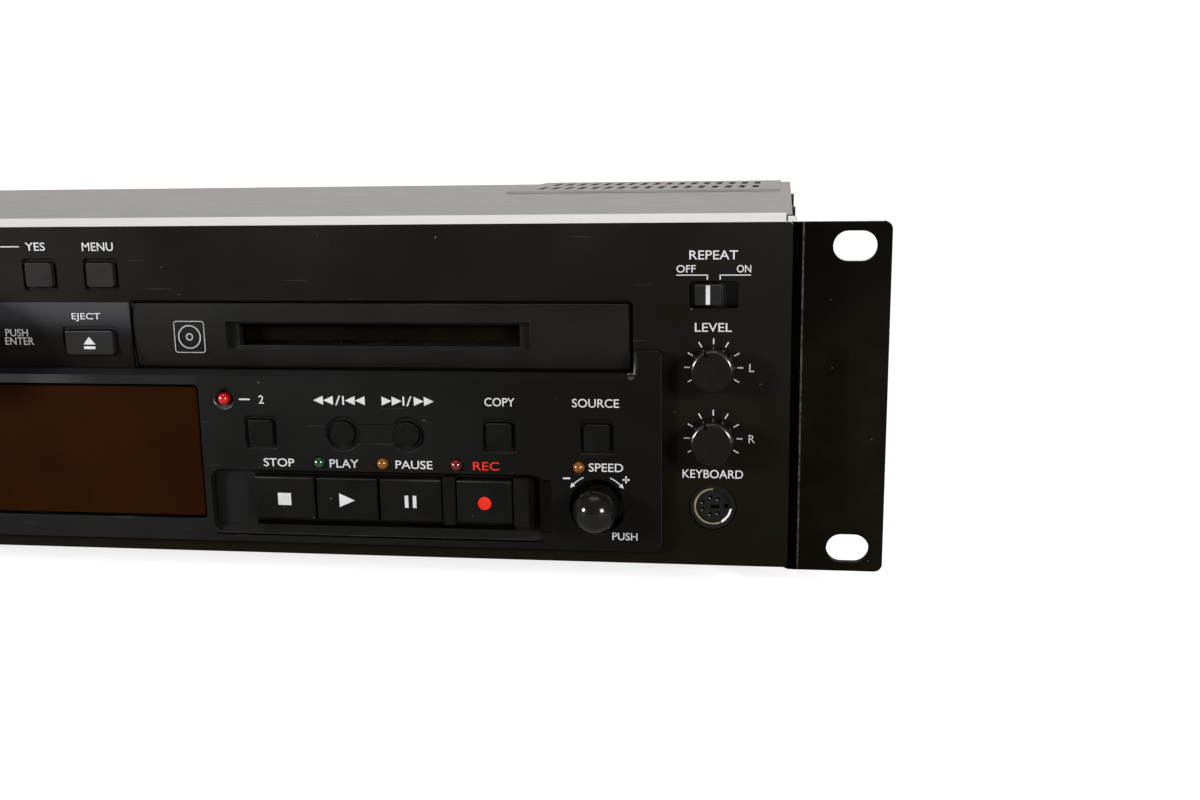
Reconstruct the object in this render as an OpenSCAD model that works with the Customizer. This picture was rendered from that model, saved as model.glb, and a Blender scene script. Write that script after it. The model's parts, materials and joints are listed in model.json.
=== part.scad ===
// Rack-mount disc deck, two units high: a disc tray on the left, a minidisc slot on the right.
// X runs along the front, Y runs from the front to the back, Z is up from the feet.
// Heights on the front are measured up from the lower edge of the front panel.
// Depths are measured back from the face of the front panel.

/* [Case] */
// Width of the front panel
panel_w = 435; // [431:0.5:437]
// Height of the front panel
panel_h = 85; // [84:0.5:88]
// Thickness of the front panel's face
panel_t = 3; // [2.5:0.25:3.5]
// Corner radius of the front panel
panel_r = 1; // [0.5:0.25:2]
// Depth from the panel's face to the back of the case
case_d = 285; // [280:1:320]
// Depth of the front moulding's top, in front of the steel cover
hood_d = 38; // [36:1:45]
// Thickness of the front moulding's top and bottom walls
hood_t = 2; // [1.5:0.25:2.5]
// Thickness of the case's sheet steel
sheet_t = 1; // [0.8:0.1:1.4]
// Height of the cover's folded sides
fold_h = 14; // [12:0.5:20]
// How far the cover's top lies below the panel's upper edge
cover_drop = 0.5; // [0.3:0.1:1]
// Clearance between case pieces
case_gap = 0.3; // [0.2:0.05:0.5]

/* [Vents] */
// Height of the raised vent field on the cover
vent_raise = 0.8; // [0.5:0.1:1.5]
// Width of the raised vent field
vent_field_w = 102; // [90:1:110]
// Depth of the raised vent field, front to back
vent_field_d = 92; // [80:1:100]
// Gap from the case's side to the vent field
vent_side = 4; // [3:0.5:8]
// Slots in each row of vents
vent_count = 17; // [10:1:17]
// Distance between slots
vent_pitch = 5.2; // [4:0.1:5.4]
// Width of a slot
vent_w = 2.4; // [1.5:0.1:3]
// Length of a slot
vent_len = 22; // [15:1:28]

/* [Rack ears and feet] */
// Width of a rack ear, from the case's side to its outer edge
ear_w = 25.1; // [24:0.1:26.5]
// Height of a rack ear
ear_h = 88.1; // [86:0.1:90]
// How far the rack ears reach below the panel
ear_drop = 3.7; // [2:0.1:5]
// Thickness of the rack ear's steel
ear_t = 2.3; // [2:0.1:3]
// How far the rack ear lies behind the panel's face
ear_set = 10; // [9.6:0.1:12]
// Length of the rack ear's leg along the case
ear_leg = 24; // [20:0.5:25]
// Outer radius of the rack ear's bend
ear_bend_r = 3; // [2.5:0.1:3.5]
// Corner radius of the rack ear
ear_r = 2; // [1:0.25:4]
// Distance from the rack ear's outer edge to the middle of its slots
slot_edge = 8.75; // [8:0.05:9.5]
// Distance between rack slots up the ear
slot_rise = 76.2; // [70:0.1:78]
// Length of a rack slot
slot_len = 10.6; // [9:0.1:12]
// Width of a rack slot
slot_w = 7.4; // [6.5:0.1:8]
// Height of the feet
foot_h = 9.7; // [6:0.1:14]
// Radius of the feet
foot_r = 11; // [8:0.5:14]
// Distance from the feet to the panel's ends
foot_side_edge = 37.5; // [30:0.5:60]
// Depth of the front feet
foot_front = 46; // [36:1:60]
// Distance from the back of the case to the middle of the back feet
foot_back_edge = 37; // [30:1:60]

/* [Screws] */
// Radius of a screw's head
screw_head_r = 2.8; // [2.2:0.1:3.4]
// Height of a screw's head
screw_head_h = 1.6; // [1:0.1:2]
// Radius of a screw's shank
screw_r = 1.4; // [1.2:0.1:1.6]
// Length of a screw's shank
screw_len = 7; // [6:0.5:10]
// Clearance around a screw's shank
screw_gap = 0.1; // [0.05:0.05:0.3]

/* [Centre plate] */
// Width of the raised centre plate
plate_w = 373; // [371:0.5:374]
// Height of the centre plate
plate_h = 45; // [43.5:0.25:45.2]
// Height of the centre plate's lower edge
plate_low = 3.7; // [3:0.1:4.5]
// How far the centre plate stands proud
plate_t = 2.5; // [2:0.1:3]
// Corner radius of the centre plate
plate_r = 3; // [2:0.25:4]
// Width of the tab at each upper corner of the centre plate
tab_w = 7; // [6:0.25:7.5]
// Height of the tab above the centre plate
tab_h = 5.8; // [4:0.1:8]
// Width of the display window
window_w = 135; // [130:0.5:137]
// Height of the display window
window_h = 35; // [30:0.5:36]
// Height of the display window's centre
window_mid = 27.2; // [26.5:0.1:27.5]
// Thickness of the display window
window_t = 1.5; // [1:0.1:2]
// Width of the seat that the panel gives the window's edge
window_seat = 4; // [3:0.25:6]
// Thickness of the display tube
tube_t = 7; // [5:0.5:8]

/* [Disc bays] */
// Distance of each bay's centre from the middle of the deck
bay_x = 114.5; // [114:0.1:115]
// Height of both bays' centres
bay_mid = 57.3; // [57:0.1:57.6]
// Width of the tray's front and of the slot's bezel
bay_w = 128; // [127:0.25:128.5]
// Height of the tray's front and of the slot's bezel
bay_h = 16.2; // [15.5:0.1:16.4]
// Gap round the tray's front and the bezel
bay_gap = 0.5; // [0.3:0.05:0.6]
// Radius of the band's bulging face
band_r = 40; // [35:1:60]
// How far the bulge's crest lies behind the panel's face
band_set = 0.2; // [0.1:0.05:0.5]
// Height of the bulge's crest above the bays' centres
band_crest = 3; // [2:0.25:4]
// Thickness of the panel behind the band
band_back = 6; // [5.5:0.25:7]

/* [Minidisc slot] */
// Width of the slot
md_slot_w = 73; // [72.6:0.1:74]
// Height of the slot
md_slot_h = 5.6; // [5.4:0.1:6]
// Widening of the slot's mouth on each side
md_mouth = 2.8; // [1.5:0.1:3.5]
// Widening of the slot's mouth above and below
md_mouth_h = 0.7; // [0.4:0.1:1]
// Depth of the slot's mouth
md_mouth_d = 2; // [1.5:0.1:2.4]
// Thickness of the bezel behind the panel's face
md_bezel_t = 5; // [4.5:0.25:5.5]
// Thickness of the dust flap
flap_t = 1; // [0.8:0.1:1.2]
// Radius of the dust flap's pins
flap_pin_r = 0.8; // [0.7:0.05:0.9]
// Depth of the front of the minidisc mechanism
md_front = 17; // [16.8:0.2:20]
// Depth of the space for the cartridge
md_bay_d = 70; // [69:0.5:75]
// Thickness of the minidisc frame's walls
md_wall = 4; // [3:0.25:5]
// Height of the works below the cartridge
md_works_h = 6; // [5.5:0.25:7]
// Radius of the minidisc turntable
md_table_r = 8; // [6:0.25:9]
// Travel of the minidisc pickup
md_sled_travel = 17; // [12:0.5:18]

/* [Disc tray] */
// Width of the tray
tray_w = 126; // [125:0.25:126.4]
// Length of the tray
tray_len = 152; // [148:1:156]
// Thickness of the tray
tray_t = 5.5; // [5:0.25:6]
// Height of the tray's top above the bays' centres
tray_rise = 3.7; // [3:0.1:4]
// Travel of the tray
tray_travel = 128; // [110:1:128]
// Radius of the disc recess
disc_r = 60.5; // [60.2:0.1:61]
// Depth of the disc recess
disc_sink = 2.5; // [2:0.1:3]
// Radius of the small disc recess
small_disc_r = 40.5; // [40.2:0.1:42]
// Distance from the tray's front to the disc's centre
disc_set = 68; // [64:0.5:72]
// Width of the tray's slot for the turntable and pickup
tray_slot_w = 34; // [31:0.5:38]
// Thickness of the tray's front
tray_front_t = 5.8; // [5:0.1:6]
// Thickness of the disc frame's walls
cd_wall = 3; // [2.5:0.25:3.5]
// Clearance between the tray and its guides
guide_gap = 0.3; // [0.2:0.05:0.4]
// Height of the bridge above the tray's top
bridge_rise = 6; // [5.5:0.25:8]
// Radius of the disc's turntable
table_r = 14; // [12:0.25:14.5]
// Radius of the turntable's hub
hub_r = 7.4; // [7:0.05:7.5]
// How far the disc's works lift
lift_travel = 5.5; // [4.5:0.1:6]
// Travel of the disc pickup
sled_travel = 34; // [25:1:36]

/* [Tray drive] */
// Size of the drive teeth, pitch diameter over tooth count
tooth_size = 1; // [0.9:0.05:1.1]
// Teeth on the drive gear
gear_teeth = 16; // [14:1:18]
// Thickness of the gear and the rack
gear_t = 3; // [2:0.25:3.2]
// Radius of the gear's post
gear_post_r = 1.5; // [1.2:0.1:2]
// Distance from the tray's edge to the rack's pitch line
rack_inset = 15; // [12:0.5:20]
// Depth of the gear's centre
gear_set = 24; // [22:0.5:26]

/* [Keys] */
// Clearance round every key
key_gap = 0.25; // [0.15:0.05:0.35]
// Travel of a key
key_travel = 0.6; // [0.3:0.1:0.8]
// Width of the upper keys
top_key_w = 7.2; // [6:0.1:8]
// Height of the upper keys
top_key_h = 6.1; // [5:0.1:7]
// Height of the upper keys' row
top_row = 72.8; // [72:0.1:75]
// Distance of the answer keys from the middle
answer_x = 26.2; // [24:0.1:28]
// Distance of the menu key from the middle
menu_x = 42.9; // [40:0.1:46]
// Width of the eject and open keys
eject_w = 13; // [11:0.1:14]
// Height of the eject and open keys
eject_h = 6.2; // [5:0.1:7]
// Distance of the eject and open keys from the middle
eject_x = 38.3; // [34:0.1:39]
// Height of the eject and open keys' row
eject_row = 55.3; // [54:0.1:57]
// Side of the square keys on the centre plate
square_key = 6.4; // [5.5:0.1:7]
// Radius of the skip keys
skip_key_r = 3.1; // [2.6:0.1:3.5]
// Height of the row of small keys on the centre plate
small_row = 32.8; // [32:0.1:34]
// Distance of the source key from the middle
source_x = 83.8; // [82:0.1:86]
// Distance of the skip-back key from the middle
skip_back_x = 105.5; // [103:0.1:107]
// Distance of the skip-forward key from the middle
skip_on_x = 122.3; // [120:0.1:125]
// Distance of the dubbing key from the middle
dubbing_x = 145.9; // [140:0.1:150]
// Distance of the input key from the middle
input_key_x = 170.5; // [165:0.1:174]
// Height of the transport keys
play_key_h = 11; // [9:0.1:12]
// Width of the stop, play and pause keys
play_key_w = 16; // [14:0.1:16.2]
// Width of the record key
record_key_w = 14.2; // [12:0.1:15]
// Height of the transport keys' row
play_row = 15.7; // [15:0.1:16]
// Distance of the stop key from the middle
stop_x = 89.2; // [88:0.1:89.6]
// Distance of the play key from the middle
play_x = 105.9; // [105.8:0.1:106.1]
// Distance of the pause key from the middle
pause_x = 122.6; // [122.4:0.1:123]
// Distance of the record key from the middle
record_x = 141.7; // [140:0.1:144]
// Width of the recess round the transport keys
play_well_w = 87.8; // [85:0.1:88.5]
// Height of the recess round the transport keys
play_well_h = 16.9; // [16:0.1:17.4]
// Distance of the transport recess's centre from the middle
play_well_x = 113.3; // [113:0.1:113.8]
// Extra width of the sunk ring round a key
well_rim = 1.1; // [0.8:0.05:1.2]
// Depth of the sunk ring round a key
well_d = 0.8; // [0.5:0.05:1]
// Width of the power key
power_key_w = 14; // [10:0.25:16]
// Height of the power key
power_key_h = 8; // [6:0.25:10]

/* [Knobs and switches] */
// Distance of the outer control columns from the middle
column_x = 199; // [198:0.1:199.5]
// Height of the slide switch and the power key
switch_row = 67.8; // [66:0.1:69]
// Height of the upper knob in the outer columns
knob_row_high = 50.1; // [49:0.1:51]
// Height of the lower knob in the outer columns
knob_row_low = 32.5; // [32:0.1:33.5]
// Height of the front sockets
socket_row = 15; // [14:0.1:16]
// Radius of the level knobs
knob_r = 5.3; // [4.5:0.1:6]
// How far the level knobs stand out
knob_out = 7.5; // [6:0.5:12]
// Radius of the level knobs' stems
stem_r = 3; // [2.5:0.1:3.2]
// Radius of the dial
dial_r = 13; // [11:0.25:13.5]
// How far the dial stands out
dial_out = 14; // [11:0.5:18]
// Radius of the pitch knob
pitch_r = 5.4; // [4.5:0.1:5.8]
// How far the pitch knob stands out of the panel
pitch_out = 12.5; // [9:0.25:13.5]
// Radius of the hole round the pitch knob
pitch_hole_r = 7.1; // [6.5:0.1:7.5]
// Distance of the pitch knob from the middle
pitch_x = 170.4; // [170:0.1:171]
// Height of the pitch knob
pitch_row = 15.1; // [14.5:0.1:15.5]
// Radius of the shafts inside the dial and the pitch knobs
shaft_r = 2; // [1.6:0.1:2.4]
// Running clearance of shafts, pins and stems
run_gap = 0.05; // [0.03:0.01:0.1]
// Width of the slide switch's window
switch_w = 11.7; // [10.8:0.1:13]
// Height of the slide switch's window
switch_h = 6.6; // [6:0.1:7.5]
// Width of the slide switch's cap
slider_w = 6.4; // [5.5:0.1:6.8]
// Height of the slide switch's cap
slider_h = 5; // [4:0.1:5.5]
// Travel of the slide switch's cap
slider_travel = 2.8; // [2:0.1:3]

/* [Lamps and sockets] */
// Radius of a lamp
lamp_r = 1.45; // [1.2:0.05:1.6]
// Height of the row of lamps over the transport keys
lamp_row = 25.1; // [25:0.1:25.4]
// Height of the source lamps
source_lamp_row = 41.4; // [40.5:0.1:42]
// Distance of the source lamp from the middle
source_lamp_x = 74.5; // [74.3:0.1:76]
// Radius of the front headphone socket's bore
phones_r = 3.2; // [3.175:0.025:3.3]
// Length of the headphone socket's bore
phones_len = 28; // [25:0.5:32]
// Inner radius of the keyboard socket's ring
din_r = 4.7; // [4.6:0.05:4.9]
// Depth of the keyboard socket's ring
din_len = 7; // [6:0.25:9]
// Radius of the keyboard socket's core
din_core_r = 4; // [3.8:0.05:4.1]
// Outer radius of a phono socket's barrel
phono_r = 4.15; // [4.1:0.05:4.2]
// How far a phono socket stands out behind
phono_out = 9; // [8:0.25:11]
// Distance between phono sockets
phono_pitch = 18; // [15:0.5:20]
// Width of the mains inlet's hollow
inlet_w = 24.5; // [24:0.25:26]
// Height of the mains inlet's hollow
inlet_h = 16.5; // [16:0.25:18]
// Depth of the mains inlet's hollow
inlet_d = 16; // [14:0.5:18]

/* [Boards] */
// Thickness of a circuit board
board_t = 1.6; // [1.2:0.1:2]
// Depth of the front board
board_d = 14; // [13.8:0.1:14.6]
// Height of the rear boards above the bottom
board_rise = 7; // [5:0.5:9]

/* [Hidden] */
$fn = 48;
cut = 1;              // how far a cutting solid runs past a face
front_y = dial_out - (dial_out + case_d + phono_out) / 2;
panel_z = foot_h;
cover_top = panel_h - cover_drop;
side_x = panel_w / 2 - sheet_t - case_gap;      // outer face of the pan's walls
wall_top = panel_h - hood_t - case_gap;
ear_x = side_x + ear_w;
slot_x = ear_x - slot_edge;
slot_low = (ear_h - slot_rise) / 2 - ear_drop;
plate_mid = plate_low + plate_h / 2;
key_back = panel_t + 0.3;                       // front of the flange that keeps a key in
band_key_back = band_back + 0.3;
key_flange = 1;
key_lip = 0.8;
nub_d = board_d - 4.2;                          // front of a push switch
stem_end = nub_d - key_travel - 0.1;
tray_top = bay_mid + tray_rise;
tray_bottom = tray_top - tray_t;
tray_d = tray_front_t + band_set;
disc_d = tray_d + disc_set;
cd_x = -bay_x;
cd_side = tray_w / 2 + guide_gap;
cd_floor_top = tray_bottom - gear_t - 2 * guide_gap - 3;
cd_floor_t = 1.5;
cd_frame_d0 = board_d - 6;
lift_w = 54;
lift_d0 = disc_d - 26;
cd_rod_d0 = disc_d + table_r + 2;
cd_sled_d0 = cd_rod_d0 + 3.4;
cd_sled_len = 20;
cd_rod_end = cd_sled_d0 + cd_sled_len + sled_travel + 3.4;
lift_len = cd_rod_end + 4 - lift_d0;
frame_tail = 6;                                 // of the disc frame behind the tray and the lift
cd_frame_len = max(tray_len, lift_d0 + lift_len - cd_frame_d0) + frame_tail;
lift_t = 2;
lift_gap = 0.4;
lift_z0 = tray_bottom - 1.1 - lift_t - lift_travel;
small_sink = 1.2;                               // of the small disc recess below the large one
hub_h = 1.6;
hub_tip = 1.2;
table_t = 2.4;
table_top = tray_top - disc_sink - small_sink - guide_gap - hub_h - hub_tip;
puck_gap = 0.3;
motor_r = 11;
motor_h = 5;
rod_r = 1.25;
spindle_r = 1;
rod_h = lift_z0 + lift_t + 1.8;
rod_x = 9;
gear_pitch_r = tooth_size * gear_teeth / 2;
rack_x = cd_x - tray_w / 2 + rack_inset;
rack_over = 5;                                  // of the rack past the gear with the tray out
rack_back = gear_set + tray_travel + rack_over;
rack_lead = 17;                                 // of the rack before the gear
rack_front = gear_set - rack_lead;
gear_x = rack_x + gear_pitch_r;
gear_low = tray_bottom - guide_gap - gear_t;
md_low = bay_mid - md_slot_h / 2 - md_works_h;
md_frame_w = md_slot_w + 2 * md_wall;
md_floor_t = 2;
md_disc_d = md_front + md_bay_d / 2;
md_rod_r = 1;
md_rod_x = 7;
md_rod_h = md_low + md_floor_t + 2.2;
md_sled_d0 = md_disc_d + md_table_r + 2;
md_sled_len = 12;
md_rod_tail = 12;
md_edge = 4;                                    // of the frame round its well
md_front_post = 8;
md_back_post = 6;
md_rod_end = md_sled_d0 + md_sled_len + md_sled_travel + md_rod_tail;
md_frame_len = md_rod_end + 2 * md_wall - md_front;
flap_h = md_slot_h - 0.4;
flap_axis_d = md_bezel_t + 1.6;
flap_axis_h = bay_mid + md_slot_h / 2 + flap_pin_r + 0.5;
rear_d = case_d - sheet_t;
board_h = sheet_t + board_rise;
board_top = cd_floor_top - 4;
riser_w = 2 * (menu_x + 4);
board_foot_x = 120;
post_r = 3;
post_inset = 8;
board_side_gap = 10.2;                          // from the pan's walls to the rear boards
board_back_gap = 9;                             // from the case's back to the rear boards
boards_gap = 13;                                // between the two rear boards
main_share = 0.604;                             // of the boards' width that the main board takes
boards_w = 2 * (side_x - board_side_gap) - boards_gap;
main_w = boards_w * main_share;
main_x1 = side_x - board_side_gap;
main_x0 = main_x1 - main_w;
main_d0 = cd_frame_d0 + cd_frame_len + 2;
main_len = case_d - board_back_gap - main_d0;
power_w = boards_w - main_w;
power_x0 = board_side_gap - side_x;
power_x1 = power_x0 + power_w;
power_d0 = main_d0 + post_inset;
power_len = case_d - board_back_gap - power_d0;
panel_keys = [
  [answer_x, top_row, top_key_w, top_key_h],
  [-answer_x, top_row, top_key_w, top_key_h],
  [menu_x, top_row, top_key_w, top_key_h],
  [eject_x, eject_row, eject_w, eject_h],
  [-eject_x, eject_row, eject_w, eject_h],
  [-column_x, switch_row, power_key_w, power_key_h]
];
rib_gap = 0.35;
end_rib_w = 4;
pause_side = pause_x + play_key_w / 2;
record_side = record_x - record_key_w / 2;
plate_keys = [
  [source_x, small_row, square_key, square_key],
  [dubbing_x, small_row, square_key, square_key],
  [input_key_x, small_row, square_key, square_key]
];
skip_keys = [skip_back_x, skip_on_x, -skip_back_x, -skip_on_x];
play_keys = [
  [stop_x, play_key_w],
  [play_x, play_key_w],
  [pause_x, play_key_w],
  [record_x, record_key_w],
  [-stop_x, play_key_w],
  [-play_x, play_key_w],
  [-pause_x, play_key_w]
];
lamp_side = 7;                                  // from a key's middle to its lamp, beside the label
pitch_lamp_side = 4.5;
half_lamps = [
  [play_x - lamp_side, lamp_row],
  [pause_x - lamp_side, lamp_row],
  [pitch_x - pitch_lamp_side, lamp_row],
  [source_lamp_x, source_lamp_row]
];
lamps = concat(
  half_lamps,
  [for (l = half_lamps) [-l[0], l[1]]],
  [[record_x - lamp_side, lamp_row]]
);
knobs = [
  [column_x, knob_row_high],
  [column_x, knob_row_low],
  [-column_x, knob_row_low]
];
side_screws = [
  for (d = [hood_d + 12, case_d / 2 + hood_d / 2, case_d - 22]) [d, cover_top - fold_h / 2]
];
ear_screw_low = 10;
ear_screw_step = 30;
ear_screws = [for (i = [0:2]) [ear_set + ear_leg * 0.6, ear_screw_low + i * ear_screw_step]];
rear_corner_x = side_x - 16.2;
rear_screw_drop = 6;
rear_screws = [-rear_corner_x, -90, 60, rear_corner_x];
phono_x0 = 40;
phono_x = [for (i = [0:5]) phono_x0 + i * phono_pitch];
phono_h = 30;
phono_neck_r = phono_r + 0.45;
phono_collar = 0.6;
phones_side = 12.5;
din_wall = 1;
din_set = 0.6;
phones_nut = 1.8;
inlet_x = -150;
inlet_mid = 34;

// Puts its children at a place on the front: x across, h up, d back from the face
module on_front(x, h, d = 0) {
  translate([x, front_y + d, panel_z + h]) children();
}

module rounded(w, h, r) {
  square([w - 2 * r, h], center = true);
  square([w, h - 2 * r], center = true);
  for (sx = [-1, 1])
    for (sy = [-1, 1])
      translate([sx * (w / 2 - r), sy * (h / 2 - r)]) circle(r);
}

module long_hole(len, w, t) {
  translate([0, t, 0]) rotate([90, 0, 0]) linear_extrude(t) {
    square([len - w, w], center = true);
    for (s = [-1, 1])
      translate([s * (len - w) / 2, 0]) circle(w / 2);
  }
}

// A flat piece that faces the front, from its place back by t
module slab(w, h, t, r = 0) {
  translate([0, t, 0]) rotate([90, 0, 0]) linear_extrude(t)
    if (r > 0) rounded(w, h, r);
    else square([w, h], center = true);
}

// A round piece that faces the front, from its place back by t
module rod(r, t) {
  rotate([-90, 0, 0]) cylinder(r = r, h = t);
}

module cone(r_front, r_back, t) {
  rotate([-90, 0, 0]) cylinder(r1 = r_front, r2 = r_back, h = t);
}

// A box given by its place on the front and its sizes across, back and up
module block(x0, d0, h0, w, d, h) {
  translate([x0, front_y + d0, panel_z + h0]) cube([w, d, h]);
}

// The long barrel whose surface is the bulging band across the front
module band_barrel(w) {
  on_front(-w / 2, bay_mid + band_crest, band_set + band_r)
    rotate([0, 90, 0]) cylinder(r = band_r, h = w, $fn = 96);
}

module panel_openings() {
  for (s = [-1, 1]) {
    on_front(s * bay_x, bay_mid, -cut)
      slab(bay_w + 2 * bay_gap, bay_h + 2 * bay_gap, band_back + 2 * cut);
    on_front(s * pitch_x, pitch_row, -cut) rod(pitch_hole_r, panel_t + 2 * cut);
  }
  on_front(0, window_mid, -cut)
    slab(window_w - 2 * window_seat, window_h - 2 * window_seat, panel_t + 2 * cut);
  for (k = concat(panel_keys, plate_keys))
    on_front(k[0], k[1], -cut)
      slab(k[2] + 2 * key_gap, k[3] + 2 * key_gap, band_back + 2 * cut, key_lip);
  for (k = panel_keys)
    on_front(k[0], k[1], -cut)
      slab(k[2] + 2 * well_rim, k[3] + 2 * well_rim, cut + well_d, key_lip);
  for (x = skip_keys)
    on_front(x, small_row, -cut) rod(skip_key_r + key_gap, panel_t + 2 * cut);
  for (k = play_keys)
    on_front(k[0], play_row, -cut)
      slab(k[1] + 2 * key_gap, play_key_h + 2 * key_gap, panel_t + 2 * cut);
  for (k = knobs)
    on_front(k[0], k[1], -cut) rod(stem_r + 2 * key_gap, panel_t + 2 * cut);
  on_front(0, bay_mid, -cut) rod(shaft_r + 2 * key_gap, band_back + 2 * cut);
  for (k = [[column_x, switch_row], [-column_x, knob_row_high]])
    on_front(k[0], k[1], -cut) slab(switch_w, switch_h, panel_t + 2 * cut, key_lip);
  for (l = lamps)
    on_front(l[0], l[1], -cut) rod(lamp_r + key_gap, panel_t + 2 * cut);
  on_front(column_x, socket_row, -cut) rod(din_r + din_wall + 0.2, panel_t + 2 * cut);
  on_front(-column_x, socket_row, -cut) rod(phones_r + 1.5, panel_t + 2 * cut);
}

module front_panel() {
  hood_w = 2 * side_x - 2 * case_gap;
  lip_w = 2 * (side_x - sheet_t - case_gap);
  band_w = 2 * (bay_x - bay_w / 2 - bay_gap);
  color("#202022") difference() {
    union() {
      on_front(0, panel_h / 2) slab(panel_w, panel_h, panel_t, panel_r);
      block(-hood_w / 2, panel_t, panel_h - hood_t, hood_w, hood_d - panel_t, hood_t);
      block(-lip_w / 2, panel_t, sheet_t, lip_w, 10, hood_t);
      on_front(0, bay_mid, panel_t)
        slab(band_w - 4, bay_h + 4, band_back - panel_t);
      for (s = [-1, 1])
        block(s * (panel_w / 2 - 1.25) - 1.25, panel_t, panel_r, 2.5, 3, panel_h - 2 * panel_r);
      on_front((pause_side + record_side) / 2, play_row, -plate_t)
        slab(record_side - pause_side - 2 * rib_gap, play_key_h + 4 * rib_gap, plate_t + cut, rib_gap);
      on_front(record_x + record_key_w / 2 + rib_gap + end_rib_w / 2, play_row, -plate_t)
        slab(end_rib_w, play_key_h + 4 * rib_gap, plate_t + cut, rib_gap);
    }
    difference() {
      on_front(0, bay_mid, -cut) slab(band_w + cut, bay_h + 2 * bay_gap, band_back + cut);
      band_barrel(band_w + 2 * cut);
    }
    panel_openings();
  }
}

module centre_plate() {
  color("#26282b") difference() {
    union() {
      on_front(0, plate_mid, -plate_t) slab(plate_w, plate_h, plate_t, plate_r);
      for (s = [-1, 1])
        on_front(s * (plate_w / 2 - tab_w / 2), plate_low + plate_h + tab_h / 2 - plate_r, -plate_t)
          slab(tab_w, tab_h + 2 * plate_r, plate_t, 1.5);
    }
    on_front(0, window_mid, -plate_t - cut)
      slab(window_w + 2 * case_gap, window_h + 2 * case_gap, plate_t + 2 * cut, 1.5);
    for (s = [-1, 1]) {
      on_front(s * play_well_x, play_row - 1.2, -plate_t - cut)
        slab(play_well_w, play_well_h, plate_t + 2 * cut, 3);
      on_front(s * pitch_x, pitch_row, -plate_t - cut) rod(pitch_hole_r, plate_t + 2 * cut);
      on_front(s * source_lamp_x, source_lamp_row, -plate_t) cone(2.8, lamp_r, 1.4);
      on_front(s * (skip_back_x + skip_on_x) / 2, small_row, -plate_t - cut)
        slab(skip_on_x - skip_back_x, 5.2, cut + well_d);
    }
    for (k = plate_keys) {
      on_front(k[0], k[1], -plate_t - cut)
        slab(k[2] + 2 * key_gap, k[3] + 2 * key_gap, plate_t + 2 * cut, key_lip);
      on_front(k[0], k[1], -plate_t - cut)
        slab(k[2] + 2 * well_rim, k[3] + 2 * well_rim, cut + well_d, key_lip);
    }
    for (x = skip_keys) {
      on_front(x, small_row, -plate_t - cut) rod(skip_key_r + key_gap, plate_t + 2 * cut);
      on_front(x, small_row, -plate_t - cut) rod(skip_key_r + 1.5, cut + well_d);
    }
    for (l = lamps)
      on_front(l[0], l[1], -plate_t - cut) rod(lamp_r + key_gap, plate_t + 2 * cut);
  }
}

module display_window() {
  color("#2a1712")
    on_front(0, window_mid, -window_t) slab(window_w, window_h, window_t, 1.3);
}

module display_tube() {
  tube_w = window_w - 2 * window_seat - 2;
  tube_h = window_h - 2 * window_seat - 1;
  color("#1b2a26") {
    on_front(0, window_mid, board_d - tube_t) slab(tube_w, tube_h, tube_t);
    on_front(tube_w / 2 + 1.5, window_mid, board_d - tube_t / 2 - 1.5) slab(3, 4, 3);
  }
}

module md_bezel() {
  ear_w = 2;
  ear_gap = 0.4;
  color("#1b1b1d") difference() {
    union() {
      intersection() {
        on_front(bay_x, bay_mid) slab(bay_w, bay_h, md_bezel_t);
        band_barrel(2 * (bay_x + bay_w));
      }
      on_front(bay_x, bay_mid, panel_t + 0.05) slab(bay_w + 4, bay_h + 1.5, md_bezel_t - panel_t - 0.05);
      for (s = [-1, 1])
        on_front(bay_x + s * (md_slot_w / 2 + ear_gap + ear_w / 2), flap_axis_h, md_bezel_t)
          slab(ear_w, 4, 3.2);
    }
    on_front(bay_x, bay_mid, -cut) slab(md_slot_w, md_slot_h, md_bezel_t + 2 * cut);
    on_front(bay_x, bay_mid, -cut)
      slab(md_slot_w + 2 * md_mouth, md_slot_h + 2 * md_mouth_h, cut + md_mouth_d);
    on_front(bay_x - md_slot_w, flap_axis_h, flap_axis_d)
      rotate([0, 90, 0]) cylinder(r = flap_pin_r + run_gap, h = 2 * md_slot_w);
  }
}

module md_flap() {
  pin_len = md_slot_w + 2 * 2.2;
  color("#2b1a14") {
    on_front(bay_x - pin_len / 2, flap_axis_h, flap_axis_d)
      rotate([0, 90, 0]) cylinder(r = flap_pin_r, h = pin_len);
    block(bay_x - md_slot_w / 2 + 0.2, flap_axis_d - flap_t / 2, flap_axis_h - flap_h - flap_pin_r,
          md_slot_w - 0.4, flap_t, flap_h + flap_pin_r);
  }
}

module md_frame() {
  x0 = bay_x - md_frame_w / 2;
  top_h = bay_mid + md_slot_h / 2 + 2.5;
  color("#8c9094") {
    difference() {
      block(x0, md_front, md_low, md_frame_w, md_frame_len, top_h - md_low);
      block(bay_x - md_slot_w / 2, md_front - cut, bay_mid - md_slot_h / 2,
            md_slot_w, md_bay_d + cut, md_slot_h);
      block(bay_x - md_slot_w / 2 + md_edge, md_front + md_edge, md_low + md_floor_t,
            md_slot_w - 2 * md_edge, md_rod_end - md_front - md_edge, md_works_h - md_floor_t + cut);
      on_front(bay_x, md_low - cut, md_disc_d) cylinder(r = spindle_r + run_gap, h = md_floor_t + 2 * cut);
    }
    for (s = [-1, 1])
      on_front(bay_x + s * md_rod_x, md_rod_h, md_disc_d + md_table_r)
        rod(md_rod_r, md_rod_end - md_disc_d - md_table_r);
    for (s = [-1, 1])
      for (d = [md_front + md_front_post, md_front + md_frame_len - md_back_post])
        on_front(bay_x + s * (md_frame_w / 2 - 5), sheet_t, d)
          cylinder(r = post_r, h = md_low - sheet_t);
  }
}

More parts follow.
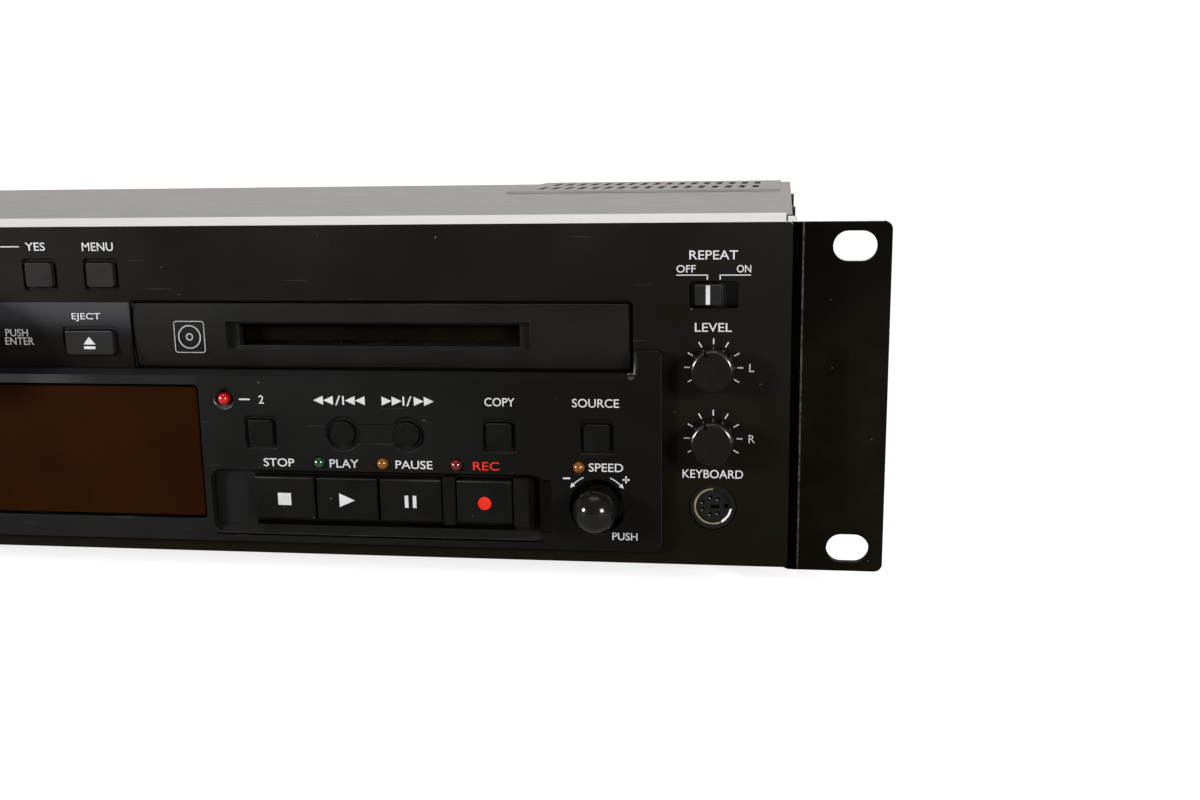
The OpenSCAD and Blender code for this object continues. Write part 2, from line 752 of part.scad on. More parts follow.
module md_spindle() {
  shaft_h = 3 + md_floor_t + case_gap;
  table_h = shaft_h + 2;
  color("#c8c8cc") on_front(bay_x, md_low - 3, md_disc_d)
    rotate_extrude() polygon([[0, 0], [spindle_r, 0], [spindle_r, shaft_h], [md_table_r, shaft_h],
                              [md_table_r, table_h], [2.6, table_h], [2.6, table_h + 1], [0, table_h + 1]]);
}

module md_pickup() {
  color("#5b5f66") difference() {
    union() {
      block(bay_x - 12, md_sled_d0, md_rod_h - 1.8, 24, md_sled_len, 3.2);
      on_front(bay_x, md_rod_h + 1.4, md_sled_d0 + md_sled_len / 2) cylinder(r = 1.8, h = 0.6);
    }
    for (s = [-1, 1])
      on_front(bay_x + s * md_rod_x, md_rod_h, md_sled_d0 - cut)
        rod(md_rod_r + run_gap, md_sled_len + 2 * cut);
  }
}

module screw_out(dir) {
  rotate([0, dir * 90, 0]) {
    cylinder(r = screw_head_r, h = screw_head_h);
    translate([0, 0, -screw_len]) cylinder(r = screw_r, h = screw_len);
  }
}

module screws() {
  color("#101011") {
    for (s = [-1, 1]) {
      for (p = side_screws)
        on_front(s * panel_w / 2, p[1], p[0]) screw_out(s);
      for (p = ear_screws)
        on_front(s * (side_x + ear_t), p[1], p[0]) screw_out(s);
    }
    for (x = rear_screws)
      on_front(x, cover_top - sheet_t - rear_screw_drop, case_d) {
        rod(screw_head_r, screw_head_h);
        translate([0, -screw_len, 0]) rod(screw_r, screw_len);
      }
  }
}

module chassis_pan() {
  pan_d0 = panel_t + case_gap;
  pan_len = rear_d - pan_d0;
  rail_h = 12;
  color("#3a3b3d") {
    difference() {
      union() {
        block(-side_x, pan_d0, 0, 2 * side_x, pan_len, sheet_t);
        for (s = [-1, 1])
          block(s * (side_x - sheet_t / 2) - sheet_t / 2, pan_d0 + 3.5, 0, sheet_t, pan_len - 3.5, wall_top);
        block(-side_x, rear_d - sheet_t, 0, 2 * side_x, sheet_t, rail_h);
        for (s = [-1, 1])
          block(s * (side_x - 5) - 5, rear_d - sheet_t, 0, 10, sheet_t, wall_top - 1);
      }
      for (s = [-1, 1]) {
        for (p = concat(side_screws, ear_screws))
          on_front(s * (side_x + cut), p[1], p[0])
            rotate([0, -s * 90, 0]) cylinder(r = screw_r + screw_gap, h = sheet_t + 2 * cut);
        on_front(s * rear_corner_x, cover_top - sheet_t - rear_screw_drop, rear_d - sheet_t - cut)
          rod(screw_r + screw_gap, sheet_t + 2 * cut);
      }
    }
    for (x = [main_x0 + post_inset, (main_x0 + main_x1) / 2, main_x1 - post_inset])
      for (d = [main_d0 + post_inset, main_d0 + main_len - post_inset])
        on_front(x, sheet_t, d) cylinder(r = post_r, h = board_rise);
    for (x = [power_x0 + post_inset, power_x1 - post_inset])
      for (d = [power_d0 + post_inset, power_d0 + power_len - post_inset])
        on_front(x, sheet_t, d) cylinder(r = post_r, h = board_rise);
  }
}

module top_cover() {
  cover_d0 = hood_d + case_gap;
  field_x0 = panel_w / 2 - vent_side - vent_field_w;
  field_d0 = case_d - 4 - vent_field_d;
  row_gap = (vent_field_d - 2 * vent_len) / 3;
  color("#2d2e30") difference() {
    union() {
      block(-panel_w / 2, cover_d0, cover_top - sheet_t, panel_w, case_d - cover_d0, sheet_t);
      for (s = [-1, 1])
        block(s * (panel_w / 2 - sheet_t / 2) - sheet_t / 2, cover_d0, cover_top - fold_h,
              sheet_t, case_d - cover_d0, fold_h);
      block(field_x0, field_d0, cover_top - sheet_t, vent_field_w, vent_field_d, sheet_t + vent_raise);
    }
    for (row = [0, 1])
      for (i = [0 : vent_count - 1])
        block(field_x0 + (vent_field_w - (vent_count - 1) * vent_pitch - vent_w) / 2 + i * vent_pitch,
              field_d0 + row_gap + row * (vent_len + row_gap), cover_top - sheet_t - cut,
              vent_w, vent_len, sheet_t + vent_raise + 2 * cut);
    for (s = [-1, 1])
      for (p = side_screws)
        on_front(s * (panel_w / 2 + cut), p[1], p[0])
          rotate([0, -s * 90, 0]) cylinder(r = screw_r + screw_gap, h = sheet_t + 2 * cut);
  }
}

module rear_panel() {
  color("#2d2e30") difference() {
    on_front(0, (cover_top - sheet_t - case_gap) / 2, rear_d)
      slab(2 * side_x, cover_top - sheet_t - case_gap, sheet_t);
    for (x = phono_x)
      for (h = [phono_h, phono_h + phono_pitch])
        on_front(x, h, rear_d - cut) rod(phono_neck_r + case_gap, sheet_t + 2 * cut);
    on_front(inlet_x, inlet_mid, rear_d - cut)
      slab(inlet_w + 3 + 2 * case_gap, inlet_h + 3 + 2 * case_gap, sheet_t + 2 * cut);
    for (x = rear_screws)
      on_front(x, cover_top - sheet_t - rear_screw_drop, rear_d - cut)
        rod(screw_r + screw_gap, sheet_t + 2 * cut);
  }
}

module rack_ear(s) {
  color("#131314") difference() {
    union() {
      difference() {
        on_front((side_x + ear_x) / 2 * s, ear_h / 2 - ear_drop, ear_set)
          slab(ear_x - side_x, ear_h, ear_t, ear_r);
        on_front(s * side_x, -ear_drop, ear_set)
          translate([-ear_bend_r, -cut, -cut]) cube([2 * ear_bend_r, ear_t + 2 * cut, ear_h + 2 * cut]);
      }
      block(s * (side_x + ear_t / 2) - ear_t / 2, ear_set + ear_bend_r, -ear_drop,
            ear_t, ear_leg - ear_bend_r, ear_h);
      intersection() {
        on_front(s * (side_x + ear_bend_r), -ear_drop, ear_set + ear_bend_r)
          difference() {
            cylinder(r = ear_bend_r, h = ear_h);
            translate([0, 0, -cut]) cylinder(r = ear_bend_r - ear_t, h = ear_h + 2 * cut);
          }
        block(s * (side_x + ear_bend_r / 2) - ear_bend_r / 2, ear_set, -ear_drop,
              ear_bend_r, ear_bend_r, ear_h);
      }
    }
    for (h = [slot_low, slot_low + slot_rise])
      on_front(s * slot_x, h, ear_set - cut) long_hole(slot_len, slot_w, ear_t + 2 * cut);
    for (p = ear_screws)
      on_front(s * (side_x + ear_t + cut), p[1], p[0])
        rotate([0, -s * 90, 0]) cylinder(r = screw_r + screw_gap, h = ear_t + 2 * cut);
  }
}

module rack_ear_left() {
  rack_ear(-1);
}

module rack_ear_right() {
  rack_ear(1);
}

module feet() {
  taper_h = foot_h / 5;
  color("#18181a")
    for (s = [-1, 1])
      for (d = [foot_front, case_d - foot_back_edge])
        on_front(s * (panel_w / 2 - foot_side_edge), -foot_h, d) {
          cylinder(r1 = 0.9 * foot_r, r2 = foot_r, h = taper_h);
          translate([0, 0, taper_h]) cylinder(r = foot_r, h = foot_h - taper_h);
        }
}

module main_board() {
  chip = 22;
  chip_t = 2.5;
  cap_r = 4;
  cap_h = 12;
  parts_h = board_h + board_t;
  color("#1f5a34") {
    block(main_x0, main_d0, board_h, main_w, main_len, board_t);
    for (i = [1 : 3])
      block(main_x0 + i * main_w / 4 - chip / 2, main_d0 + main_len / 3, parts_h, chip, chip, chip_t);
    for (i = [1 : 5])
      on_front(main_x0 + i * main_w / 6, parts_h, main_d0 + main_len * 2 / 3) cylinder(r = cap_r, h = cap_h);
  }
}

module power_board() {
  coil_w = 52;
  coil_d = 44;
  coil_h = 40;
  big_cap_r = 9;
  big_cap_h = 26;
  sink_w = 70;
  sink_h = 30;
  parts_x = power_x0 + post_inset + coil_w + post_inset * 2;
  parts_h = board_h + board_t;
  color("#7a5a2c") {
    block(power_x0, power_d0, board_h, power_w, power_len, board_t);
    block(power_x0 + post_inset * 1.5, power_d0 + post_inset * 2, parts_h, coil_w, coil_d, coil_h);
    for (i = [0 : 2])
      on_front(parts_x + big_cap_r + i * (2 * big_cap_r + 5), parts_h, power_d0 + coil_d * 0.7)
        cylinder(r = big_cap_r, h = big_cap_h);
    block(parts_x, power_d0 + coil_d + post_inset * 1.5, parts_h, sink_w, 3, sink_h);
  }
}

// A push switch on the front board, behind a key
module push_switch(x, h) {
  on_front(x, h, nub_d) rod(1.5, 1);
  on_front(x, h, nub_d + 0.9) slab(6, 6, board_d - nub_d - 0.9);
}

// A turning control on the front board: body and bushing, with a bore for its shaft
module pot_body(x, h, bore_r, side, front = panel_t + 1.5) {
  difference() {
    union() {
      on_front(x, h, board_d - 6) slab(side, side, 6);
      on_front(x, h, front) rod(bore_r + 1.2, board_d - 6 - front);
    }
    on_front(x, h, panel_t) rod(bore_r, board_d - 0.6 - panel_t);
  }
}

module front_board() {
  color("#1f5a34") {
    difference() {
      union() {
        block(-side_x + 6, board_d, 4, 2 * side_x - 12, board_t, board_top - 4);
        block(-riser_w / 2, board_d, board_top, riser_w, board_t, top_row + 4 - board_top);
        for (s = [-1, 1])
          block(s * (column_x + 1) - 10, board_d, board_top, 20, board_t, switch_row + 4 - board_top);
      }
      on_front(-column_x, socket_row, board_d - cut)
        slab(phones_side + 1, phones_side + 1, board_t + 2 * cut);
    }
    for (k = concat(panel_keys, plate_keys)) push_switch(k[0], k[1]);
    for (x = skip_keys) push_switch(x, small_row);
    for (k = play_keys) push_switch(k[0], play_row);
    for (k = knobs) pot_body(k[0], k[1], stem_r + run_gap, 10);
    pot_body(0, bay_mid, shaft_r + run_gap, 12, band_back + 0.5);
    for (s = [-1, 1]) pot_body(s * pitch_x, pitch_row, shaft_r + run_gap, 12);
    for (k = [[column_x, switch_row], [-column_x, knob_row_high]])
      on_front(k[0], k[1], board_d - 5) slab(14, 5.5, 5);
    for (s = [-1, 1])
      block(s * board_foot_x - 4, board_d + board_t, sheet_t, 8, 3, 12);
  }
}

module front_sockets() {
  color("#c9cace") {
    difference() {
      union() {
        on_front(column_x, socket_row, din_set) rod(din_r + din_wall, panel_t);
        on_front(column_x, socket_row, panel_t + 0.2) slab(13, 12.5, board_d - panel_t - 0.2);
      }
      on_front(column_x, socket_row, 0) rod(din_r, din_set + din_len);
    }
    difference() {
      on_front(column_x, socket_row, 1.4) rod(din_core_r, din_len - 0.5);
      for (a = [0 : 60 : 300])
        rotate_about(column_x, socket_row, a) on_front(column_x + 2.5, socket_row, 1) rod(0.5, 4);
      on_front(column_x, socket_row + 2.6, 1) slab(1.6, 1.6, 4);
    }
    difference() {
      union() {
        on_front(-column_x, socket_row, -phones_nut) rod(phones_r + 2.8, phones_nut);
        on_front(-column_x, socket_row, -0.2) rod(phones_r + 1.2, panel_t + 0.5);
        on_front(-column_x, socket_row, panel_t + 0.2)
          slab(phones_side, phones_side, phones_len - phones_nut - panel_t - 0.2);
      }
      on_front(-column_x, socket_row, -phones_nut - cut) rod(phones_r, phones_len + 2 * cut);
    }
  }
}

// Turns its children about a line that runs back through a place on the front
module rotate_about(x, h, a) {
  on_front(x, h) rotate([0, a, 0]) translate([-x, -front_y, -panel_z - h]) children();
}

module rear_sockets() {
  color("#b8862f")
    for (x = phono_x)
      for (h = [phono_h, phono_h + phono_pitch])
        difference() {
          union() {
            on_front(x, h, rear_d - 12) slab(12, 12, 12 - case_gap);
            on_front(x, h, rear_d - case_gap - 0.5) rod(phono_neck_r, sheet_t + case_gap + 0.5 + phono_collar);
            on_front(x, h, case_d) rod(phono_r, phono_out);
          }
          on_front(x, h, rear_d - 8) rod(1.6, 8 + sheet_t + phono_out + cut);
        }
  color("#1a1a1b") {
    difference() {
      union() {
        on_front(inlet_x, inlet_mid, case_d) slab(inlet_w + 12, inlet_h + 7, 2, 2);
        on_front(inlet_x, inlet_mid, case_d - inlet_d) slab(inlet_w + 3, inlet_h + 3, inlet_d + 0.5);
      }
      on_front(inlet_x, inlet_mid, case_d + 2 - inlet_d) slab(inlet_w, inlet_h, inlet_d + cut, 2);
    }
    for (p = [[-7, -2], [0, 2], [7, -2]])
      on_front(inlet_x + p[0], inlet_mid + p[1], case_d + 1 - inlet_d) slab(2, 4, inlet_d - 4);
  }
}

module status_lamps() {
  color("#c8141e")
    for (l = lamps) {
      on_front(l[0], l[1], -plate_t + 0.2) rod(lamp_r, board_d + plate_t - 0.2);
      intersection() {
        on_front(l[0], l[1], -plate_t + 0.2) sphere(lamp_r);
        on_front(l[0], l[1], -plate_t - 2) rod(lamp_r, 2.2);
      }
    }
}

// Teeth of the rack, along +X with the tips towards +Y
function rack_points(count, step, size) = concat(
  [[0, -2 * size]],
  [for (i = [0 : count - 1])
    for (p = [[0.05, -1.25], [0.31, -1.25], [0.55, 0.9], [0.81, 0.9], [1.05, -1.25]])
      if (p[0] < 1) [(i + p[0]) * step, p[1] * size]],
  [[count * step, -1.25 * size], [count * step, -2 * size]]
);

function gear_points(teeth, r, size) = [
  for (i = [0 : teeth - 1])
    for (p = [[-0.37, -1.2], [-0.24, -0.5], [-0.11, 0.85], [0.11, 0.85], [0.24, -0.5], [0.37, -1.2]])
      let (a = (i + p[0]) * 360 / teeth, q = r + p[1] * size) [q * cos(a), q * sin(a)]
];

module cd_tray() {
  step = PI * tooth_size;
  color("#2a2b2d") {
    difference() {
      block(cd_x - tray_w / 2, tray_d, tray_bottom, tray_w, tray_len, tray_t);
      on_front(cd_x, tray_top - disc_sink, disc_d) cylinder(r = disc_r, h = disc_sink + cut, $fn = 96);
      on_front(cd_x, tray_top - disc_sink - small_sink, disc_d)
        cylinder(r = small_disc_r, h = small_sink + disc_sink, $fn = 96);
      block(cd_x - tray_slot_w / 2, disc_d - 18, tray_bottom - cut,
            tray_slot_w, tray_len, tray_t + 2 * cut);
    }
    on_front(rack_x, gear_low, rack_back) rotate([0, 0, -90])
      linear_extrude(gear_t + guide_gap)
        polygon(rack_points(floor((rack_back - rack_front) / step), step, tooth_size));
  }
}

module tray_front() {
  color("#1b1b1d") intersection() {
    on_front(cd_x, bay_mid) slab(bay_w, bay_h, tray_d);
    band_barrel(2 * (bay_x + bay_w));
  }
}

module tray_gear() {
  color("#d8d4c8") difference() {
    union() {
      on_front(gear_x, gear_low, gear_set) gear_shape();
      on_front(gear_x, gear_low - 2, gear_set) cylinder(r = gear_post_r + 2, h = 2);
    }
    on_front(gear_x, gear_low - 2 - cut, gear_set)
      cylinder(r = gear_post_r + run_gap, h = gear_t + 2 + 2 * cut);
  }
}

// The gear, turned so that a gap between two teeth takes the rack's tooth
module gear_shape() {
  step = PI * tooth_size;
  steps_back = (rack_back - gear_set) / step;
  rack_phase = steps_back - floor(steps_back);
  turn = (0.68 - rack_phase) * 360 / gear_teeth;
  rotate([0, 0, 180 + 180 / gear_teeth + turn])
    linear_extrude(gear_t - guide_gap) polygon(gear_points(gear_teeth, gear_pitch_r, tooth_size));
}

module cd_frame() {
  x0 = cd_x - cd_side - cd_wall;
  full_w = 2 * (cd_side + cd_wall);
  wall_h = tray_top + bridge_rise - cd_floor_top + cd_floor_t;
  ledge_w = 4;
  color("#55585c") {
    difference() {
      block(x0, cd_frame_d0, cd_floor_top - cd_floor_t, full_w, cd_frame_len, cd_floor_t);
      block(cd_x - lift_w / 2 - lift_gap, lift_d0 - lift_gap, cd_floor_top - cd_floor_t - cut,
            lift_w + 2 * lift_gap, lift_len + 2 * lift_gap, cd_floor_t + 2 * cut);
    }
    for (s = [-1, 1]) {
      block(cd_x + s * (cd_side + cd_wall / 2) - cd_wall / 2, cd_frame_d0, cd_floor_top - cd_floor_t,
            cd_wall, cd_frame_len, wall_h);
      block(cd_x + s * (cd_side - ledge_w / 2) - ledge_w / 2, cd_frame_d0, tray_bottom - guide_gap - 2,
            ledge_w, cd_frame_len, 2);
      block(cd_x + s * (cd_side - 1) - 1, cd_frame_d0, tray_top + guide_gap,
            2, cd_frame_len, 1.5);
      for (d = [cd_frame_d0 + 16, cd_frame_d0 + cd_frame_len - 8])
        on_front(cd_x + s * (cd_side - 4), sheet_t, d)
          cylinder(r = post_r + 1, h = cd_floor_top - cd_floor_t - sheet_t);
    }
    block(x0, disc_d - 12, tray_top + bridge_rise, full_w, 24, 1.5);
    difference() {
      on_front(cd_x, tray_top + puck_gap, disc_d) cylinder(r = table_r, h = bridge_rise - puck_gap);
      on_front(cd_x, tray_top, disc_d) cylinder(r = hub_r + lift_gap, h = hub_h + hub_tip);
    }
    on_front(gear_x, cd_floor_top, gear_set) cylinder(r = gear_post_r, h = gear_low + gear_t - cd_floor_top - 0.6);
    on_front(gear_x, cd_floor_top, gear_set)
      cylinder(r = gear_post_r + 1, h = gear_low - 2 - guide_gap - cd_floor_top);
  }
}

module cd_lift() {
  color("#8c9094") {
    difference() {
      block(cd_x - lift_w / 2, lift_d0, lift_z0, lift_w, lift_len, lift_t);
      block(cd_x - 14, cd_rod_d0 + 4, lift_z0 - cut, 28, cd_rod_end - cd_rod_d0 - 8, lift_t + 2 * cut);
      on_front(cd_x, lift_z0 - cut, disc_d) cylinder(r = spindle_r + run_gap, h = lift_t + 2 * cut);
    }
    difference() {
      on_front(cd_x, lift_z0 - motor_h, disc_d) cylinder(r = motor_r, h = motor_h);
      on_front(cd_x, lift_z0 - motor_h - cut, disc_d) cylinder(r = spindle_r + run_gap, h = motor_h + 2 * cut);
    }
    for (s = [-1, 1])
      on_front(cd_x + s * rod_x, rod_h, cd_rod_d0) rod(rod_r, cd_rod_end - cd_rod_d0);
    for (d = [cd_rod_d0, cd_rod_end - 3])
      block(cd_x - rod_x - 3, d, lift_z0 + lift_t, 2 * rod_x + 6, 3, 2.6);
  }
}

module cd_spindle() {
  shaft_h = table_top - table_t - lift_z0 + 4;
  top_h = shaft_h + table_t;
  color("#c8c8cc") on_front(cd_x, lift_z0 - 4, disc_d)
    rotate_extrude() polygon([[0, 0], [spindle_r, 0], [spindle_r, shaft_h], [table_r, shaft_h],
                              [table_r, top_h], [hub_r, top_h], [hub_r, top_h + hub_h],
                              [hub_r - 2, top_h + hub_h + hub_tip], [0, top_h + hub_h + hub_tip]]);
}

module cd_pickup() {
  color("#5b5f66") difference() {
    union() {
      block(cd_x - 12.5, cd_sled_d0, rod_h - 1.6, 25, cd_sled_len, 3.2);
      on_front(cd_x, rod_h + 1.6, cd_sled_d0 + 9) cylinder(r = 2, h = 0.8);
    }
    for (s = [-1, 1])
      on_front(cd_x + s * rod_x, rod_h, cd_sled_d0 - cut) rod(rod_r + run_gap, cd_sled_len + 2 * cut);
  }
}

module dial_knob() {
  back = -plate_t - key_travel - 0.3;
  color("#18181a") difference() {
    union() {
      on_front(0, bay_mid, -dial_out + 1.5) rod(dial_r, dial_out - 1.5 + back);
      on_front(0, bay_mid, -dial_out) cone(dial_r - 1.5, dial_r, 1.5);
    }
    on_front(0, bay_mid, -dial_out + 4) rod(shaft_r + run_gap, dial_out);
  }
}

module dial_shaft() {
  color("#9a9ca0") on_front(0, bay_mid, -dial_out + 4.3)
    rod(shaft_r, dial_out - 4.3 + board_d - 0.6 - key_travel - 0.2);
}

module pitch_knob(s) {
  color("#101012") difference() {
    union() {
      on_front(s * pitch_x, pitch_row, pitch_r - pitch_out) rod(pitch_r, pitch_out - pitch_r + 0.6);
      intersection() {
        on_front(s * pitch_x, pitch_row, pitch_r - pitch_out) sphere(pitch_r);
        on_front(s * pitch_x, pitch_row, -pitch_out) rod(pitch_r, pitch_r);
      }
    }
    on_front(s * pitch_x, pitch_row, 3 - pitch_out) rod(shaft_r + run_gap, pitch_out);
  }
}

module pitch_shaft(s) {
  color("#9a9ca0") on_front(s * pitch_x, pitch_row, 3.3 - pitch_out)
    rod(shaft_r, pitch_out - 3.3 + board_d - 0.6 - key_travel - 0.2);
}

module pitch_knob_right() {
  pitch_knob(1);
}

module pitch_knob_left() {
  pitch_knob(-1);
}

module pitch_shaft_right() {
  pitch_shaft(1);
}

module pitch_shaft_left() {
  pitch_shaft(-1);
}

module level_knob(x, h) {
  color("#161618") {
    on_front(x, h, -knob_out) cone(knob_r - 0.6, knob_r, 0.8);
    on_front(x, h, 0.8 - knob_out) rod(knob_r, knob_out - 1.2);
    on_front(x, h, -0.5) rod(stem_r, board_d - 1);
  }
}

module input_knob_upper() {
  level_knob(column_x, knob_row_high);
}

module input_knob_lower() {
  level_knob(column_x, knob_row_low);
}

module phones_knob() {
  level_knob(-column_x, knob_row_low);
}

// A slide switch's cap, its hiding plate behind the panel and its stem
module slider(x, h) {
  x_rest = x - slider_travel / 2;
  color("#222224") {
    on_front(x_rest, h, -0.8) slab(slider_w, slider_h, key_back + 0.8);
    on_front(x_rest, h, key_back) slab(switch_w + slider_travel + 1, switch_h + 1.4, key_flange);
    on_front(x_rest, h, key_back + key_flange) slab(3, 3, board_d - 5.3 - key_back - key_flange);
  }
}

module play_mode_switch() {
  slider(column_x, switch_row);
}

module timer_switch() {
  slider(-column_x, knob_row_high);
}

// The part of a key behind the panel: a flange that keeps it in, and a stem to its push switch
module key_rear(x, h, w, ht, back) {
  on_front(x, h, back) slab(w + 2 * key_lip, ht + 2 * key_lip, key_flange);
  on_front(x, h, back + key_flange) slab(3, 3, stem_end - back - key_flange);
}

module key(x, h, w, ht, out, back = key_back) {
  color("#1c1c1e") {
    on_front(x, h, -out) slab(w, ht, back + out, key_lip);
    key_rear(x, h, w, ht, back);
  }
}

module play_key_shape(x, w) {
  color("#1c1c1e") {
    on_front(x, play_row, -plate_t - 0.3) slab(w, play_key_h, key_back + plate_t + 0.3, 0.5);
    on_front(x, play_row, key_back) slab(w - 2, play_key_h + 2 * key_lip, key_flange);
    on_front(x, play_row, key_back + key_flange) slab(3, 3, stem_end - key_back - key_flange);
  }
}

module skip_key(x) {
  color("#1c1c1e") {
    on_front(x, small_row, -plate_t - 0.2) rod(skip_key_r, key_back + plate_t + 0.2);
    key_rear(x, small_row, 2 * skip_key_r, 2 * skip_key_r, key_back);
  }
}

chassis_pan();
top_cover();
front_panel();
centre_plate();
display_window();
display_tube();
md_bezel();
md_flap();
md_frame();
md_spindle();
md_pickup();
rear_panel();
rack_ear_left();
rack_ear_right();
feet();
screws();
main_board();
power_board();
front_board();
front_sockets();
rear_sockets();
status_lamps();
cd_frame();
cd_tray();
tray_front();
tray_gear();
cd_lift();
cd_spindle();
cd_pickup();
dial_knob();
dial_shaft();
pitch_knob_right();
pitch_shaft_right();
pitch_knob_left();
pitch_shaft_left();
input_knob_upper();
input_knob_lower();
phones_knob();
play_mode_switch();
timer_switch();
key(-column_x, switch_row, power_key_w, power_key_h, 2);  // power_key
key(answer_x, top_row, top_key_w, top_key_h, 0.7);  // yes_key
key(-answer_x, top_row, top_key_w, top_key_h, 0.7);  // no_key
key(menu_x, top_row, top_key_w, top_key_h, 0.7);  // menu_key
key(eject_x, eject_row, eject_w, eject_h, 0.5, band_key_back);  // eject_key
key(-eject_x, eject_row, eject_w, eject_h, 0.5, band_key_back);  // open_key
key(source_x, small_row, square_key, square_key, plate_t + 0.2);  // source_key
skip_key(skip_back_x);  // skip_back_key
skip_key(skip_on_x);  // skip_on_key
key(dubbing_x, small_row, square_key, square_key, plate_t + 0.2);  // dubbing_key
key(input_key_x, small_row, square_key, square_key, plate_t + 0.2);  // input_key
play_key_shape(stop_x, play_key_w);  // stop_key
play_key_shape(play_x, play_key_w);  // play_key
play_key_shape(pause_x, play_key_w);  // pause_key
play_key_shape(record_x, record_key_w);  // record_key
skip_key(-skip_on_x);  // cd_skip_back_key
skip_key(-skip_back_x);  // cd_skip_on_key
play_key_shape(-pause_x, play_key_w);  // cd_stop_key
play_key_shape(-play_x, play_key_w);  // cd_play_key
play_key_shape(-stop_x, play_key_w);  // cd_pause_key
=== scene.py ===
import json
import math
import bpy
import bmesh
from mathutils import Matrix, Vector


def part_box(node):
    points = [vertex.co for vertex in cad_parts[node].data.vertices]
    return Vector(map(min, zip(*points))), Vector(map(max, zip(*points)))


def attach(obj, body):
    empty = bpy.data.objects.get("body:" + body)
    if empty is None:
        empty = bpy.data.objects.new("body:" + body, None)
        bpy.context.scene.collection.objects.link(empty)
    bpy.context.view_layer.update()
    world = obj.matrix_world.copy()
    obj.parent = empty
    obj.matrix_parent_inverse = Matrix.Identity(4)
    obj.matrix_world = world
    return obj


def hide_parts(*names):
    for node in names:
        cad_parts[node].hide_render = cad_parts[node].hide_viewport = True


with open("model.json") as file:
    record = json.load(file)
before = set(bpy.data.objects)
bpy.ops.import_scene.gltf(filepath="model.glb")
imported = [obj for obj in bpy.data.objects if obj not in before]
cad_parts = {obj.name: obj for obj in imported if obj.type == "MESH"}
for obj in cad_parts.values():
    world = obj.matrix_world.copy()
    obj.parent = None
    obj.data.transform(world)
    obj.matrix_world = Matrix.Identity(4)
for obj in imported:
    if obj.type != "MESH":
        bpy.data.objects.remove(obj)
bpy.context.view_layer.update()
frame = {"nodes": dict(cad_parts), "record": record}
print("frame loaded:", len(frame["nodes"]), "nodes")

mm = 0.001
faceY = -0.140  # the front panel's face
panelZ = 0.0097  # its lower edge, above the table
plateD = -2.5  # the centre plate's face, in front of the panel's


def front(x, h, d=0.0):
    # a place on the front in millimetres: right, up from the panel's lower edge, back from its face
    return Vector((x * mm, faceY + d * mm, panelZ + h * mm))


def fillInputs(tree, node, inputs):
    # each input gets a value, or a link from an output
    for key, value in inputs.items():
        if isinstance(value, bpy.types.NodeSocket):
            tree.links.new(value, node.inputs[key])
        else:
            node.inputs[key].default_value = value


def addNode(tree, kind, inputs=None, **settings):
    node = tree.nodes.new(kind)
    for key, value in settings.items():
        setattr(node, key, value)
    fillInputs(tree, node, inputs or {})
    return node


def noiseMask(tree, coords, scale, low, high, detail=3.0, stretch=None, turn=None):
    # a soft 0 to 1 mask from noise, between two thresholds
    if stretch:
        mapping = addNode(tree, "ShaderNodeMapping", {"Vector": coords, "Scale": stretch, "Rotation": turn})
        coords = mapping.outputs["Vector"]
    noise = addNode(tree, "ShaderNodeTexNoise", {"Vector": coords, "Scale": scale, "Detail": detail})
    ramp = addNode(tree, "ShaderNodeMapRange", {"Value": noise.outputs["Fac"], "From Min": low, "From Max": high})
    return ramp.outputs["Result"]


def dustMask(tree, coords, spacing, size, share):
    # sparse round specks: one cell in a few holds one
    cells = addNode(tree, "ShaderNodeTexVoronoi", {"Vector": coords, "Scale": 1.0 / spacing})
    near = addNode(tree, "ShaderNodeMapRange", {"Value": cells.outputs["Distance"], "From Min": size / spacing,
                                                "From Max": size / spacing * 0.5})
    pick = addNode(tree, "ShaderNodeSeparateColor", {"Color": cells.outputs["Color"]})
    chosen = addNode(tree, "ShaderNodeMath", {0: pick.outputs[0], 1: share}, operation="LESS_THAN")
    both = addNode(tree, "ShaderNodeMath", {0: near.outputs["Result"], 1: chosen.outputs[0]}, operation="MULTIPLY")
    return both.outputs[0]


def layColour(tree, under, over, mask):
    under, over = (value + (1.0,) if isinstance(value, tuple) else value for value in (under, over))
    return addNode(tree, "ShaderNodeMix", {0: mask, 6: under, 7: over}, data_type="RGBA").outputs[2]


